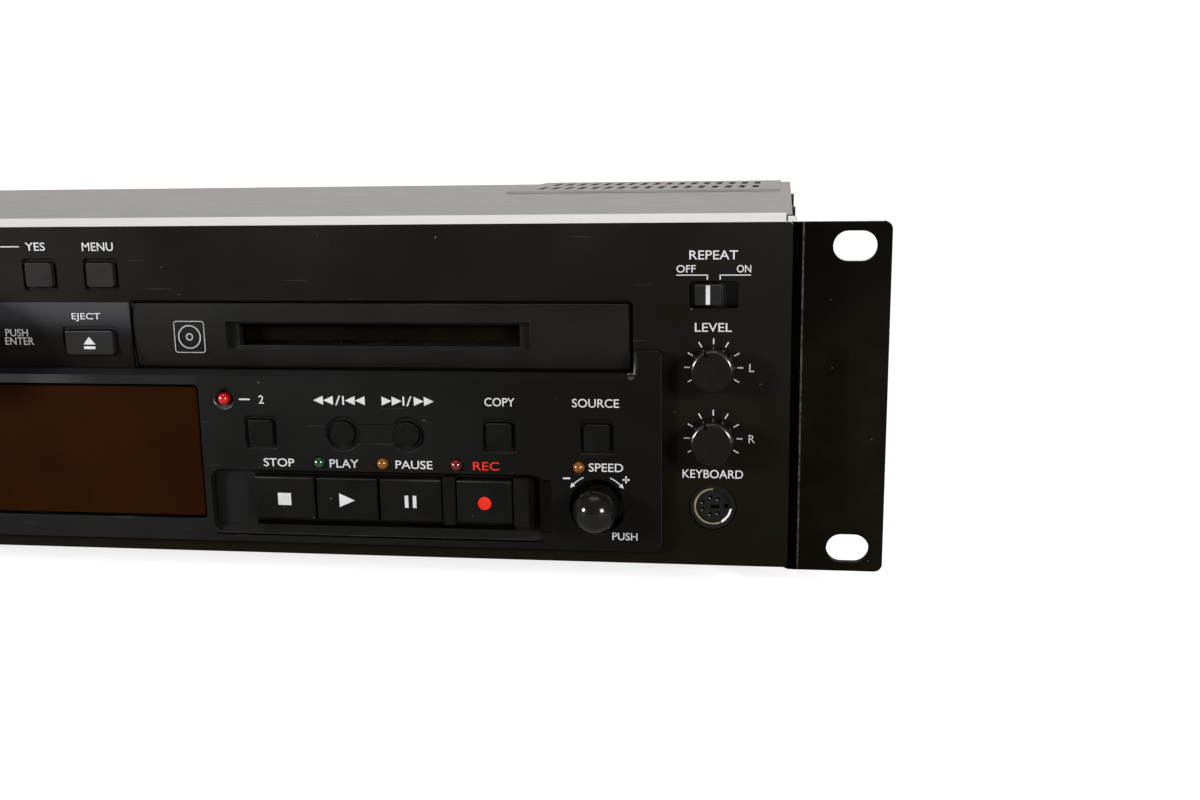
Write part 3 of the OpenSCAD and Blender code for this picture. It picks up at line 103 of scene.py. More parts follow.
def makeFinish(name, look):
    material = bpy.data.materials.new(name)
    material.use_nodes = True
    tree = material.node_tree
    coords = addNode(tree, "ShaderNodeTexCoord").outputs["Object"]
    mottle = noiseMask(tree, coords, 1.0 / look["cloud"], 0.35, 0.65)
    colour = layColour(tree, look["colour"], look["mottle"], mottle)
    if "dust" in look:
        *cells, over = look["dust"]
        colour = layColour(tree, colour, over, dustMask(tree, coords, *cells))
    if "scratches" in look:
        low, stretch, turn, over = look["scratches"]
        colour = layColour(tree, colour, over, noiseMask(tree, coords, 1.0, low, low + 0.02, 1.0, stretch, turn))
    # painted light and shade: the colour shifts towards another with height (Z) and with the distance from the middle
    # (X)
    for key, axis in (("paintedLightByHeight", "Z"), ("paintedLightBySide", "X")):
        if key in look:
            start, end, over = look[key]
            along = addNode(tree, "ShaderNodeSeparateXYZ", {"Vector": coords}).outputs[axis]
            if axis == "X":  # the same to the left and to the right
                along = addNode(tree, "ShaderNodeMath", {0: along}, operation="ABSOLUTE").outputs[0]
            band = addNode(tree, "ShaderNodeMapRange", {"Value": along, "From Min": start, "From Max": end},
                           interpolation_type="SMOOTHSTEP")
            colour = layColour(tree, colour, over, band.outputs["Result"])
    cloudy = noiseMask(tree, coords, 1.0 / look["roughCloud"], 0.3, 0.7)
    rough = addNode(tree, "ShaderNodeMapRange", {"Value": cloudy, "To Min": look["rough"][0],
                                                 "To Max": look["rough"][1]})
    inputs = {"Base Color": colour, "Roughness": rough.outputs["Result"], "Metallic": look["metal"],
              "Specular IOR Level": look["gloss"], "Coat Weight": look["coat"]}
    if look["grain"]:
        source = coords
        if "grainStretch" in look:
            brushed = addNode(tree, "ShaderNodeMapping", {"Vector": coords, "Scale": look["grainStretch"]})
            source = brushed.outputs["Vector"]
        grain = addNode(tree, "ShaderNodeTexNoise", {"Vector": source, "Scale": 1.0 / look["grain"], "Detail": 2.0})
        bump = addNode(tree, "ShaderNodeBump", {"Height": grain.outputs["Fac"], "Strength": look["bump"],
                                                "Distance": look["grain"] * 0.25})
        inputs["Normal"] = bump.outputs["Normal"]
    if "glow" in look:
        inputs.update({"Emission Color": look["glow"] + (1.0,), "Emission Strength": look["glowPower"]})
    fillInputs(tree, tree.nodes["Principled BSDF"], inputs)
    return material


# dust: spacing, size, share, colour; scratches: threshold, stretch, turn, colour; painted light by height and by
# side: from, to, colour
fineDust = (0.0042, 0.00028, 0.22, (0.085, 0.082, 0.075))
faintLines = (0.76, (60.0, 60.0, 1400.0), (0.0, 0.35, 0.0), (0.016, 0.0155, 0.0145))
darkLamp = {"cloud": 0.004, "coat": 0.5, "grain": 0.0}
usual = {"cloud": 0.02, "roughCloud": 0.012, "grain": 0.0003, "bump": 0.2, "metal": 0.0, "gloss": 0.5, "coat": 0.0}

# name: colour, colour of its cloudy patches, roughness range, what differs from the usual
finishes = {
    # panelBlack: painted light, darker and warmer towards the panel's lower edge
    "panelBlack": ((0.0042, 0.0034, 0.0022), (0.0074, 0.0066, 0.0056), (0.4, 0.5), dict(cloud=0.045, grain=0.00035,
        bump=0.25, gloss=0.05, paintedLightByHeight=(0.075, 0.02, (0.0042, 0.003, 0.0013)), dust=fineDust, scratches=faintLines)),
    # bandBlack: painted highlight, lighter and bluer towards the top of the band between the doors
    "bandBlack": ((0.0042, 0.0037, 0.003), (0.0064, 0.0058, 0.005), (0.4, 0.5), dict(grain=0.00035, bump=0.25,
        gloss=0.06, paintedLightByHeight=(0.066, 0.0748, (0.032, 0.032, 0.0365)))),
    # hoodPaintedSheen: a glossier finish, its lighter colour a painted reflection
    "hoodPaintedSheen": ((0.026, 0.0243, 0.0234), (0.029, 0.0271, 0.0261), (0.135, 0.15), dict(cloud=0.03, grain=0.00035,
        bump=0.03, gloss=0.68)),
    # plateBlack: painted shade, darker towards both ends of the plate
    "plateBlack": ((0.0044, 0.0042, 0.0039), (0.0064, 0.0062, 0.0059), (0.38, 0.48), dict(cloud=0.025, gloss=0.07,
        paintedLightBySide=(0.1, 0.178, (0.0027, 0.0024, 0.002)), dust=fineDust, scratches=faintLines)),
    "bezelBlack": ((0.005, 0.0047, 0.0043), (0.007, 0.0064, 0.0056), (0.36, 0.46), dict(cloud=0.015, gloss=0.1)),
    # edge finishes: their lighter colours are painted highlights on eased edges
    "edgeHighlightUp": ((0.016, 0.016, 0.0165), (0.048, 0.048, 0.05), (0.28, 0.38), dict(cloud=0.01, bump=0.1, gloss=0.35)),
    "edgeHighlightSide": ((0.006, 0.0058, 0.0056), (0.017, 0.0166, 0.0162), (0.3, 0.4), dict(cloud=0.008, bump=0.1,
        gloss=0.2)),
    "plateLit": ((0.0078, 0.0078, 0.008), (0.0092, 0.0092, 0.0095), (0.38, 0.48), dict(gloss=0.08,
        paintedLightBySide=(0.042, 0.018, (0.037, 0.0375, 0.0415)))),
    # paintedLitFloor: painted light on the wells' floor beside the keys
    "paintedLitFloor": ((0.0052, 0.0051, 0.005), (0.007, 0.0068, 0.0066), (0.38, 0.48), dict(gloss=0.08)),
    # paintedWellShade: painted shade for the slanted ends of the wells
    "paintedWellShade": ((0.0018, 0.0015, 0.0011), (0.0026, 0.0022, 0.0016), (0.45, 0.55), dict(gloss=0.02)),
    "keyEdgeHighlight": ((0.009, 0.0089, 0.0088), (0.02, 0.0198, 0.0196), (0.32, 0.42), dict(cloud=0.012, bump=0.1,
        gloss=0.2)),
    # knobRimHighlight: glossier, its lighter colour a painted highlight
    "knobRimHighlight": ((0.01, 0.0095, 0.0092), (0.018, 0.017, 0.0165), (0.16, 0.24), dict(cloud=0.003, bump=0.05,
        gloss=0.9)),
    # seamAndShadeBlack: dark seams and joints, and painted shade beside the ears and under the keys
    "seamAndShadeBlack": ((0.0006, 0.0006, 0.0006), (0.001, 0.001, 0.0009), (0.5, 0.6), dict(gloss=0.0, grain=0.0)),
    "windowSmoke": ((0.0095, 0.0026, 0.0005), (0.015, 0.004, 0.0007), (0.1, 0.18), dict(cloud=0.025, grain=0.004,
        bump=0.04, gloss=0.02, dust=(0.006, 0.00025, 0.2, (0.1, 0.08, 0.07)))),
    "tubeGlass": ((0.02, 0.022, 0.022), (0.03, 0.034, 0.033), (0.05, 0.1), dict(grain=0.002, bump=0.02)),
    "coverPaint": ((0.038, 0.0355, 0.0345), (0.044, 0.0415, 0.04), (0.365, 0.395), dict(cloud=0.03, grain=0.0004,
        bump=0.1, gloss=0.6, dust=(0.006, 0.0005, 0.3, (0.3, 0.29, 0.28)),
        scratches=(0.79, (1500.0, 70.0, 70.0), (0.0, 0.0, 0.2), (0.4, 0.39, 0.37)))),
    # coverStepHighlight: a painted highlight on the front-facing step of the cover
    "coverStepHighlight": ((0.165, 0.158, 0.154), (0.19, 0.182, 0.177), (0.5, 0.6), dict(gloss=0.2, grain=0.0)),
    # shellHighlight: a painted highlight on part of the keyboard socket's shell
    "shellHighlight": ((0.62, 0.6, 0.58), (0.8, 0.78, 0.76), (0.4, 0.5), dict(cloud=0.004)),
    # earPaint: painted shade, darker towards the top of the ears
    "earPaint": ((0.0027, 0.0017, 0.0005), (0.0044, 0.0032, 0.0018), (0.46, 0.58), dict(cloud=0.012, grain=0.00045,
        bump=0.5, gloss=0.04, paintedLightByHeight=(0.06, 0.092, (0.0008, 0.0006, 0.0003)),
        dust=(0.0036, 0.00025, 0.3, (0.06, 0.058, 0.052)))),
    "rearPaint": ((0.032, 0.032, 0.033), (0.037, 0.037, 0.038), (0.42, 0.48), dict(grain=0.0004, bump=0.35,
        gloss=0.45)),
    "panSteel": ((0.42, 0.42, 0.41), (0.55, 0.55, 0.53), (0.32, 0.5), dict(cloud=0.008, metal=1.0, roughCloud=0.006,
        grain=0.0006, bump=0.15)),
    "mechSteel": ((0.45, 0.45, 0.44), (0.52, 0.51, 0.49), (0.25, 0.4), dict(metal=1.0, grainStretch=(0.05, 1.0, 1.0),
        bump=0.15)),
    "spindleMetal": ((0.55, 0.54, 0.52), (0.62, 0.61, 0.58), (0.15, 0.28), dict(metal=1.0, bump=0.08)),
    "pickupDark": ((0.035, 0.035, 0.038), (0.05, 0.05, 0.053), (0.3, 0.45), {}),
    "footRubber": ((0.012, 0.012, 0.012), (0.018, 0.018, 0.017), (0.6, 0.75), dict(grain=0.0004, bump=0.4)),
    "screwBlack": ((0.015, 0.015, 0.015), (0.03, 0.03, 0.028), (0.3, 0.42), dict(cloud=0.002, metal=0.6, grain=0.0002,
        bump=0.15)),
    "boardGreen": ((0.018, 0.075, 0.03), (0.03, 0.11, 0.045), (0.3, 0.45), dict(cloud=0.004, grain=0.0006)),
    "boardBrown": ((0.22, 0.13, 0.055), (0.27, 0.165, 0.075), (0.45, 0.6), dict(cloud=0.004, grain=0.0006)),
    "partBlack": ((0.02, 0.02, 0.022), (0.03, 0.03, 0.032), (0.35, 0.5), {}),
    "socketChrome": ((0.62, 0.6, 0.56), (0.7, 0.66, 0.58), (0.12, 0.24), dict(metal=1.0, grain=0.0004, bump=0.05)),
    # socketBlackAndShade: the sockets' black plastic, and painted shade on part of the keyboard socket's shell
    "socketBlackAndShade": ((0.004, 0.0038, 0.0036), (0.006, 0.0056, 0.0052), (0.3, 0.4), dict(gloss=0.15)),
    "shellBrass": ((0.46, 0.36, 0.2), (0.62, 0.53, 0.36), (0.18, 0.3), dict(cloud=0.002, metal=1.0, grain=0.0004,
        bump=0.05)),
    "socketBrass": ((0.6, 0.43, 0.18), (0.7, 0.52, 0.25), (0.18, 0.3), dict(metal=1.0, grain=0.0004, bump=0.05)),
    "lampRed": ((0.24, 0.001, 0.001), (0.26, 0.0015, 0.001), (0.08, 0.14), dict(cloud=0.004, glow=(1.0, 0.002, 0.002),
        glowPower=0.16, coat=0.6, grain=0.0)),
    "lampDarkRed": ((0.07, 0.004, 0.003), (0.08, 0.005, 0.003), (0.08, 0.14), darkLamp),
    "lampGreen": ((0.006, 0.028, 0.007), (0.007, 0.032, 0.008), (0.08, 0.14), darkLamp),
    "lampAmber": ((0.13, 0.04, 0.001), (0.15, 0.046, 0.0012), (0.08, 0.14), darkLamp),
    "frameGrey": ((0.04, 0.041, 0.043), (0.052, 0.052, 0.054), (0.4, 0.55), dict(grain=0.0005, bump=0.3)),
    "trayBlack": ((0.014, 0.014, 0.015), (0.019, 0.019, 0.02), (0.35, 0.48), dict(grain=0.0004, bump=0.3)),
    "doorBlack": ((0.005, 0.0047, 0.0043), (0.007, 0.0064, 0.0056), (0.36, 0.46), dict(gloss=0.1, dust=fineDust)),
    "gearWhite": ((0.62, 0.61, 0.57), (0.68, 0.67, 0.62), (0.35, 0.45), dict(grain=0.0004, bump=0.15)),
    "flapBrown": ((0.0018, 0.0012, 0.0006), (0.0032, 0.002, 0.0009), (0.45, 0.6), dict(cloud=0.01, gloss=0.02)),
    "knobBlack": ((0.0036, 0.0031, 0.0025), (0.0052, 0.0045, 0.0037), (0.28, 0.38), dict(cloud=0.004, grain=0.00025,
        bump=0.12, gloss=0.12)),
    "ballBlack": ((0.004, 0.0038, 0.0035), (0.007, 0.0062, 0.0052), (0.11, 0.16), dict(cloud=0.003, bump=0.05,
        gloss=0.28, dust=(0.0024, 0.0002, 0.4, (0.12, 0.115, 0.11)))),
    "shaftSteel": ((0.5, 0.5, 0.48), (0.56, 0.56, 0.54), (0.2, 0.3), dict(metal=1.0, bump=0.1)),
    "sliderBlack": ((0.006, 0.0058, 0.0055), (0.0085, 0.0082, 0.0078), (0.32, 0.42), dict(gloss=0.2)),
    "keyBlack": ((0.0034, 0.0032, 0.003), (0.005, 0.0047, 0.0043), (0.32, 0.42), dict(cloud=0.008, bump=0.15,
        gloss=0.06, dust=fineDust)),
    "keyLit": ((0.0098, 0.0092, 0.0088), (0.0125, 0.0117, 0.0112), (0.32, 0.42), dict(cloud=0.008, bump=0.15,
        gloss=0.12, dust=fineDust)),
    "inkWhite": ((0.36, 0.36, 0.37), (0.43, 0.43, 0.44), (0.45, 0.55), dict(cloud=0.004, grain=0.0002, bump=0.1)),
    "inkGrey": ((0.2, 0.2, 0.2), (0.27, 0.27, 0.27), (0.45, 0.55), dict(cloud=0.004, grain=0.0002, bump=0.1)),
    "inkRed": ((0.46, 0.012, 0.004), (0.52, 0.018, 0.006), (0.45, 0.55), dict(cloud=0.004, grain=0.0002, bump=0.1,
        gloss=0.15)),
    "ringRed": ((0.42, 0.02, 0.015), (0.5, 0.028, 0.02), (0.3, 0.4), dict(bump=0.1)),
    "ringWhite": ((0.62, 0.61, 0.58), (0.68, 0.67, 0.64), (0.3, 0.4), dict(bump=0.1)),
    "earWorn": ((0.006, 0.005, 0.004), (0.06, 0.054, 0.046), (0.45, 0.6), dict(cloud=0.0012, grain=0.0004, bump=0.5,
        gloss=0.3)),
}
paints = {name: makeFinish(name, {**usual, "colour": colour, "mottle": mottle, "rough": rough, **more})
          for name, (colour, mottle, rough, more) in finishes.items()}
print("finishes made:", len(paints))


def inScene(name, data):
    thing = bpy.data.objects.new(name, data)
    bpy.context.scene.collection.objects.link(thing)
    return thing


def meshFrom(bm, name):
    mesh = bpy.data.meshes.new(name)
    bm.to_mesh(mesh)
    bm.free()
    return mesh


def finalMesh(thing):
    # what a piece's modifiers, or a word's letters, come to
    return bpy.data.meshes.new_from_object(thing.evaluated_get(bpy.context.evaluated_depsgraph_get()))


def evenNormals(piece):
    # flat faces stay flat beside their eased edges
    even = piece.modifiers.new("evenNormals", "WEIGHTED_NORMAL")
    even.keep_sharp = True
    even.weight = 80


def pieceFrom(bm, name, finishName, body="deck", replaced=()):
    # a finished bmesh becomes a piece that rides on its body
    piece = inScene(name, meshFrom(bm, name))
    piece.data.materials.append(paints[finishName])
    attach(piece, body)
    if replaced:
        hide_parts(*replaced)
    evenNormals(piece)
    return piece


def carve(piece, cutterBm):
    # takes a cutter's shape out of a piece
    cutter = inScene("cutter", meshFrom(cutterBm, "cutter"))
    piece.modifiers.clear()
    cut = piece.modifiers.new("cut", "BOOLEAN")
    cut.operation = "DIFFERENCE"
    cut.solver = "EXACT"
    cut.object = cutter
    shape = finalMesh(piece)
    piece.modifiers.clear()
    pieceMesh, cutterMesh = piece.data, cutter.data
    piece.data = shape
    bpy.data.meshes.remove(pieceMesh)
    bpy.data.objects.remove(cutter)
    bpy.data.meshes.remove(cutterMesh)
    evenNormals(piece)


def mergedCopy(nodeName):
    bm = bmesh.new()
    bm.from_mesh(frame["nodes"][nodeName].data)
    bmesh.ops.remove_doubles(bm, verts=bm.verts, dist=1e-6)
    bmesh.ops.dissolve_limit(bm, angle_limit=math.radians(1), verts=bm.verts, edges=bm.edges,
                             use_dissolve_boundaries=False, delimit=set())
    for face in bm.faces:
        face.material_index = 0
    return bm


def easeEdges(bm, width, segments=2, sharpest=30):
    edges = [e for e in bm.edges if e.is_manifold and e.calc_face_angle() > math.radians(sharpest)]
    bmesh.ops.bevel(bm, geom=edges, offset=width, offset_type="OFFSET", segments=segments, profile=0.5,
                    affect="EDGES", clamp_overlap=True, material=-1, loop_slide=True)


def smoothShade(bm, angle=32):
    # round parts shade smoothly, edges stay crisp
    for face in bm.faces:
        face.smooth = True
    for edge in bm.edges:
        if edge.is_manifold and edge.calc_face_angle() > math.radians(angle):
            edge.smooth = False


bodyOfNode = {node: body for body, members in frame["record"]["behaviour"]["bodies"].items() for node in members}

# node: how far its edges are eased (mm), its record slot, its finish
softEdges = {
    "chassis_pan": (0.3, "pan_steel", "panSteel"), "top_cover": (0.45, "cover_steel", "coverPaint"),
    "front_panel": (0.3, "panel_black", "panelBlack"), "centre_plate": (0.35, "plate_black", "plateBlack"),
    "display_window": (0.3, "window_smoke", "windowSmoke"), "display_tube": (0.3, "tube_glass", "tubeGlass"),
    "md_bezel": (0.3, "bezel_black", "bezelBlack"), "md_flap": (0.2, "flap_brown", "flapBrown"),
    "md_frame": (0.15, "mech_steel", "mechSteel"), "md_spindle": (0.15, "spindle_metal", "spindleMetal"),
    "md_pickup": (0.15, "pickup_dark", "pickupDark"), "rear_panel": (0.15, "rear_steel", "rearPaint"),
    "rack_ear_left": (0.35, "ear_steel", "earPaint"), "rack_ear_right": (0.35, "ear_steel", "earPaint"),
    "feet": (0.4, "foot_black", "footRubber"), "screws": (0.1, "screw_black", "screwBlack"),
    "main_board": (0.1, "board_green", "boardGreen"), "power_board": (0.1, "power_brown", "boardBrown"),
    "front_board": (0.1, "board_green", "boardGreen"), "front_sockets": (0.15, "socket_chrome", "socketBlackAndShade"),
    "rear_sockets": (0.12, "socket_brass", "socketBlackAndShade"), "cd_frame": (0.25, "frame_grey", "frameGrey"),
    "cd_tray": (0.3, "tray_black", "trayBlack"), "tray_front": (0.3, "tray_black", "doorBlack"),
    "tray_gear": (0.08, "gear_white", "gearWhite"), "cd_lift": (0.2, "mech_steel", "mechSteel"),
    "cd_spindle": (0.2, "spindle_metal", "spindleMetal"), "cd_pickup": (0.15, "pickup_dark", "pickupDark"),
    "dial_knob": (0.35, "knob_black", "knobBlack"), "dial_shaft": (0.1, "shaft_steel", "shaftSteel"),
}
for side in ("right", "left"):
    softEdges["pitch_knob_" + side] = (0.15, "ball_black", "ballBlack")
    softEdges["pitch_shaft_" + side] = (0.1, "shaft_steel", "shaftSteel")
levelNodes = ["input_knob_upper", "input_knob_lower", "phones_knob"]
slideNodes = ["play_mode_switch", "timer_switch"]
keyNodes = [node for node in frame["nodes"] if node.endswith("_key")]
upperKeys = ["yes_key", "no_key", "menu_key", "eject_key", "open_key"]  # these catch more light
softEdges.update({node: (0.55, "knob_black", "knobBlack") for node in levelNodes})
softEdges.update({node: (0.2, "slider_black", "sliderBlack") for node in slideNodes})
softEdges.update({node: (0.45, "key_black", "keyLit" if node in upperKeys else "keyBlack") for node in keyNodes})

softened = {}
for node, (width, slotName, finishName) in softEdges.items():
    bm = mergedCopy(node)
    easeEdges(bm, width * mm)
    smoothShade(bm)
    softened[node] = pieceFrom(bm, node + "Soft", finishName, bodyOfNode[node], [node])
print("softened:", len(softened))


def byFace(piece, finishNames, choose):
    # more finishes on one piece, by where a face is (mm on the front) and which way it looks; None leaves it
    base = len(piece.data.materials)
    for finishName in finishNames:
        piece.data.materials.append(paints[finishName])
    for polygon in piece.data.polygons:
        n, centre = polygon.normal, polygon.center
        chosen = choose(centre.x / mm, (centre.z - panelZ) / mm, (centre.y - faceY) / mm, n.x, n.z, -n.y)
        if chosen is not None:
            polygon.material_index = base + chosen


turned = 0.3  # a face counts as turned some way when its normal goes this far that way


def edgeChoice(x, h, d, right, up, out):
    # painted highlights: eased edges that face up and out get the lightest finish, those that face sideways a dimmer
    # one
    return None if out <= turned else 0 if up > turned else 1 if abs(right) > turned else None


hood = {"lowest": 84.0}  # the strip over the panel: glossier, and lighter as a painted reflection
band = {"side": 50.4, "low": 49.0, "top": 65.4}  # the stretch between the doors, with a painted highlight along its top
# painted reflection on the strip over the panel, painted highlight on the band's top
byFace(softened["front_panel"], ["hoodPaintedSheen", "bandBlack"], lambda x, h, d, *facing:
       0 if h > hood["lowest"] and d > 0.2 else
       1 if abs(x) < band["side"] and band["low"] < h < band["top"] and d < 1.5 else None)


def faceOf(node):
    # the middle of a node's outer face, in millimetres on the front
    low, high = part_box(node)
    return (low.x + high.x) / 2 / mm, ((low.z + high.z) / 2 - panelZ) / mm, (low.y - faceY) / mm


def slotCutter(wide, deep, tall, place, reach=0.0, angle=0.0):
    # a block in millimetres, lifted by reach, then turned about the middle of a knob at place
    bm = bmesh.new()
    bmesh.ops.create_cube(bm, size=1.0)
    bmesh.ops.scale(bm, verts=bm.verts, vec=(wide * mm, 2 * deep * mm, tall * mm))
    bmesh.ops.translate(bm, verts=bm.verts, vec=(0.0, 0.0, reach * mm))
    bmesh.ops.rotate(bm, verts=bm.verts, cent=(0.0, 0.0, 0.0), matrix=Matrix.Rotation(math.radians(angle), 3, "Y"))
    bmesh.ops.translate(bm, verts=bm.verts, vec=place)
    return bm


notch = {"wide": 0.55, "inner": 3.9, "outer": 6.0, "deep": 1.3, "angle": -20}  # the level knobs' pointers
for node in levelNodes:
    carve(softened[node], slotCutter(notch["wide"], notch["deep"], notch["outer"] - notch["inner"],
                                     front(*faceOf(node)), (notch["outer"] + notch["inner"]) / 2, notch["angle"]))

scoop = {"x": 179.0, "h": 51.4, "wide": 1.9, "tall": 4.3, "deep": 1.9}  # a thumb hollow beside each door's end
for side in (1, -1):
    bm = bmesh.new()
    bmesh.ops.create_uvsphere(bm, u_segments=32, v_segments=20, radius=1.0)
    bmesh.ops.scale(bm, verts=bm.verts, vec=(scoop["wide"] * mm, scoop["deep"] * mm, scoop["tall"] * mm))
    bmesh.ops.translate(bm, verts=bm.verts, vec=front(side * scoop["x"], scoop["h"], plateD))
    carve(softened["centre_plate"], bm)


def outward(bm):
    bmesh.ops.recalc_face_normals(bm, faces=bm.faces)


def drawOut(bm, faces, vec):
    # draws faces out along vec; they stay as the near end
    made = bmesh.ops.extrude_face_region(bm, geom=faces)
    bmesh.ops.translate(bm, verts=[v for v in made["geom"] if isinstance(v, bmesh.types.BMVert)], vec=vec)


def prism(bm, corners, vec):
    # a solid from the corners of one end, drawn out along vec
    drawOut(bm, [bm.faces.new([bm.verts.new(corner) for corner in corners])], vec)
    outward(bm)


# the slanted ends and the slanted lower side of the wells round the transport keys
slopes = {"end": 157.2, "face": 158.9, "side": 159.4, "floor": 153.9, "low": 8.0, "high": 21.8, "near": 69.6,
          "foot": 6.0, "ledge": 7.75, "lift": 0.05, "over": 0.3}
cutD = plateD * (slopes["end"] - slopes["floor"]) / (slopes["face"] - slopes["floor"])
tall = Vector((0.0, 0.0, (slopes["high"] - slopes["low"]) * mm))
for side, word in ((1, "Right"), (-1, "Left")):
    end, near, floor = (side * slopes[key] for key in ("end", "near", "floor"))
    over, low, lift, foot = (slopes[key] for key in ("over", "low", "lift", "foot"))
    bm = bmesh.new()
    prism(bm, [front(end - side * over, low, cutD + 0.1), front(end - side * over, low, plateD - over),
               front(side * (slopes["face"] + 0.2), low, plateD - 0.1)], tall)
    carve(softened["centre_plate"], bm)
    # the well's slanted end, in painted shade
    bm = bmesh.new()
    prism(bm, [front(floor, low, lift), front(end, low, lift), front(end, low, cutD)], tall)
    pieceFrom(bm, "wellEnd" + word, "paintedWellShade")
    # the ledge takes the sliders' lighter black: a painted highlight on the plate's lower side
    bm = bmesh.new()
    prism(bm, [front(near, foot, plateD + 0.15), front(near, foot, lift), front(near, slopes["ledge"], lift)],
          Vector((side * (slopes["end"] - slopes["near"] - over) * mm, 0.0, 0.0)))
    pieceFrom(bm, "wellLedge" + word, "sliderBlack")

# the plate's upper edge is cut back at a slant
slant = {"top": 48.7, "wide": 1.3, "reach": 179.3, "over": 0.2}
bm = bmesh.new()
a, b, c, reach = (slant[key] for key in ("top", "wide", "over", "reach"))
prism(bm, [front(-reach, a - b - c, plateD - c), front(-reach, a + c, plateD - c),
           front(-reach, a + c, plateD + b + c)], Vector((2 * reach * mm, 0.0, 0.0)))
carve(softened["centre_plate"], bm)

ribs = {"places": [1.4, 1.9, 4.6], "wide": 0.26, "deep": 0.3, "tall": 4.6}  # cut across the slide switches
for node in slideNodes:
    left, (x, h, d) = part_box(node)[0].x / mm, faceOf(node)
    for place in ribs["places"]:
        carve(softened[node], slotCutter(ribs["wide"], ribs["deep"], ribs["tall"], front(left + place, h, d)))

# painted highlights on the eased edges of the panel, the doors, the switches and the keys
for node in ["front_panel", "md_bezel", "tray_front"] + slideNodes:
    byFace(softened[node], ["edgeHighlightUp", "edgeHighlightSide"], edgeChoice)
for node in keyNodes:
    upper = node in upperKeys
    byFace(softened[node], ["edgeHighlightUp" if upper else "keyEdgeHighlight", "edgeHighlightSide"], lambda x, h, d, right, up, out:
           None if out < turned else 0 if up > turned else 1 if upper and right < -turned else None)
# on the plate: painted highlights on the tab's outer edges and eased edges, painted shade on the wells' slanted ends
plateTab = 184.0
byFace(softened["centre_plate"], ["edgeHighlightUp", "edgeHighlightSide", "paintedWellShade"], lambda x, h, d, right, up, out:
       2 if slopes["floor"] < abs(x) < slopes["side"] and abs(right) > turned else
       None if abs(h - slant["top"] + slant["wide"] / 2) < 0.2 else
       0 if abs(x) > plateTab and abs(right) > turned and out > turned else edgeChoice(x, h, d, right, up, out))
# the knobs' rims facing up and out: glossier, with a painted highlight
for node in levelNodes + ["dial_knob"]:
    byFace(softened[node], ["knobRimHighlight"], lambda x, h, d, right, up, out:
           0 if 0.25 < out < 0.96 and up > 0.1 else None)
boards = {"thick": 1.7, "coils": 62.0, "frontParts": 13.9}  # parts are black, the power board's coils steel
for node in ("main_board", "power_board"):
    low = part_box(node)[0]
    top = (low.z - panelZ) / mm + boards["thick"]
    coilEnd = low.x / mm + boards["coils"] if node == "power_board" else -math.inf
    byFace(softened[node], ["partBlack", "mechSteel"], lambda x, h, d, *facing:
           None if h < top else 1 if x < coilEnd else 0)
byFace(softened["front_board"], ["partBlack"], lambda x, h, d, *facing: 0 if d < boards["frontParts"] else None)
# the front-facing step of the vent field gets a lighter colour: a painted highlight
field = {"above": 84.6, "behind": 45.0}
byFace(softened["top_cover"], ["coverStepHighlight"], lambda x, h, d, right, up, out:
       0 if out > 0.4 and h > field["above"] and d > field["behind"] else None)
print("carved")

lamps = {"radius": 1.5, "depth": plateD + 0.2, "lampRed": [(74.5, 41.4)],
         "lampDarkRed": [(-74.5, 41.4), (134.7, 25.1)], "lampGreen": [(98.9, 25.1), (-98.9, 25.1)],
         "lampAmber": [(115.6, 25.1), (-115.6, 25.1), (165.9, 25.1), (-165.9, 25.1)]}
bm = mergedCopy("status_lamps")
smoothShade(bm, 40)
lampBody = bodyOfNode["status_lamps"]
pieceFrom(bm, "lampStems", "lampDarkRed", lampBody, ["status_lamps"])
for finishName in ("lampRed", "lampDarkRed", "lampGreen", "lampAmber"):
    bm = bmesh.new()
    for x, h in lamps[finishName]:
        made = bmesh.ops.create_uvsphere(bm, u_segments=32, v_segments=20, radius=lamps["radius"] * mm)
        bmesh.ops.translate(bm, verts=made["verts"], vec=front(x, h, lamps["depth"]))
    for face in bm.faces:
        face.smooth = True
    pieceFrom(bm, finishName + "Domes", finishName, lampBody)
print("lamps done")

inkThick = 0.03
sunk = 0.01  # how far a flat patch reaches under the face it stands on


def boxCorners(x0, h0, x1, h1):
    return [(x0, h0), (x1, h0), (x1, h1), (x0, h1)]


def flatPatch(bm, corners, d=0.0, thick=inkThick):
    # a thin printed shape from its corners (x, h), standing on the face at depth d
    face = bm.faces.new([bm.verts.new(front(x, h, d + sunk)) for x, h in corners])
    drawOut(bm, [face], (0.0, -(thick + sunk) * mm, 0.0))


def patchPiece(name, node, finishName, patches, d=0.0, thick=inkThick, recalculated=False):
    # one piece from flat patches, on the body of a node
    bm = bmesh.new()
    for corners in patches:
        flatPatch(bm, corners, d, thick)
    if recalculated:
        outward(bm)
    return pieceFrom(bm, name, finishName, bodyOfNode[node])


# the ears' bends: painted shade beside the panel, the paint worn along the outer edge, a painted reflection on the
# upper end
bend = {"from": 217.5, "dark": 219.9, "worn": 220.35, "low": -3.6, "high": 84.3, "face": 9.98, "thick": 0.02,
        "deep": 14.5}
for side, word in ((1, "right"), (-1, "left")):
    node = "rack_ear_" + word
    byFace(softened[node], ["hoodPaintedSheen"], lambda x, h, d, right, up, out:
           0 if up > 0.8 and abs(x) < bend["worn"] and d < bend["deep"] else None)
    for name, a, b, finishName in (("Shade", "from", "dark", "seamAndShadeBlack"), ("Wear", "dark", "worn", "earWorn")):
        patchPiece(word + "Ear" + name, node, finishName,
                   [boxCorners(side * bend[a], bend["low"], side * bend[b], bend["high"])],
                   bend["face"], bend["thick"], recalculated=True)

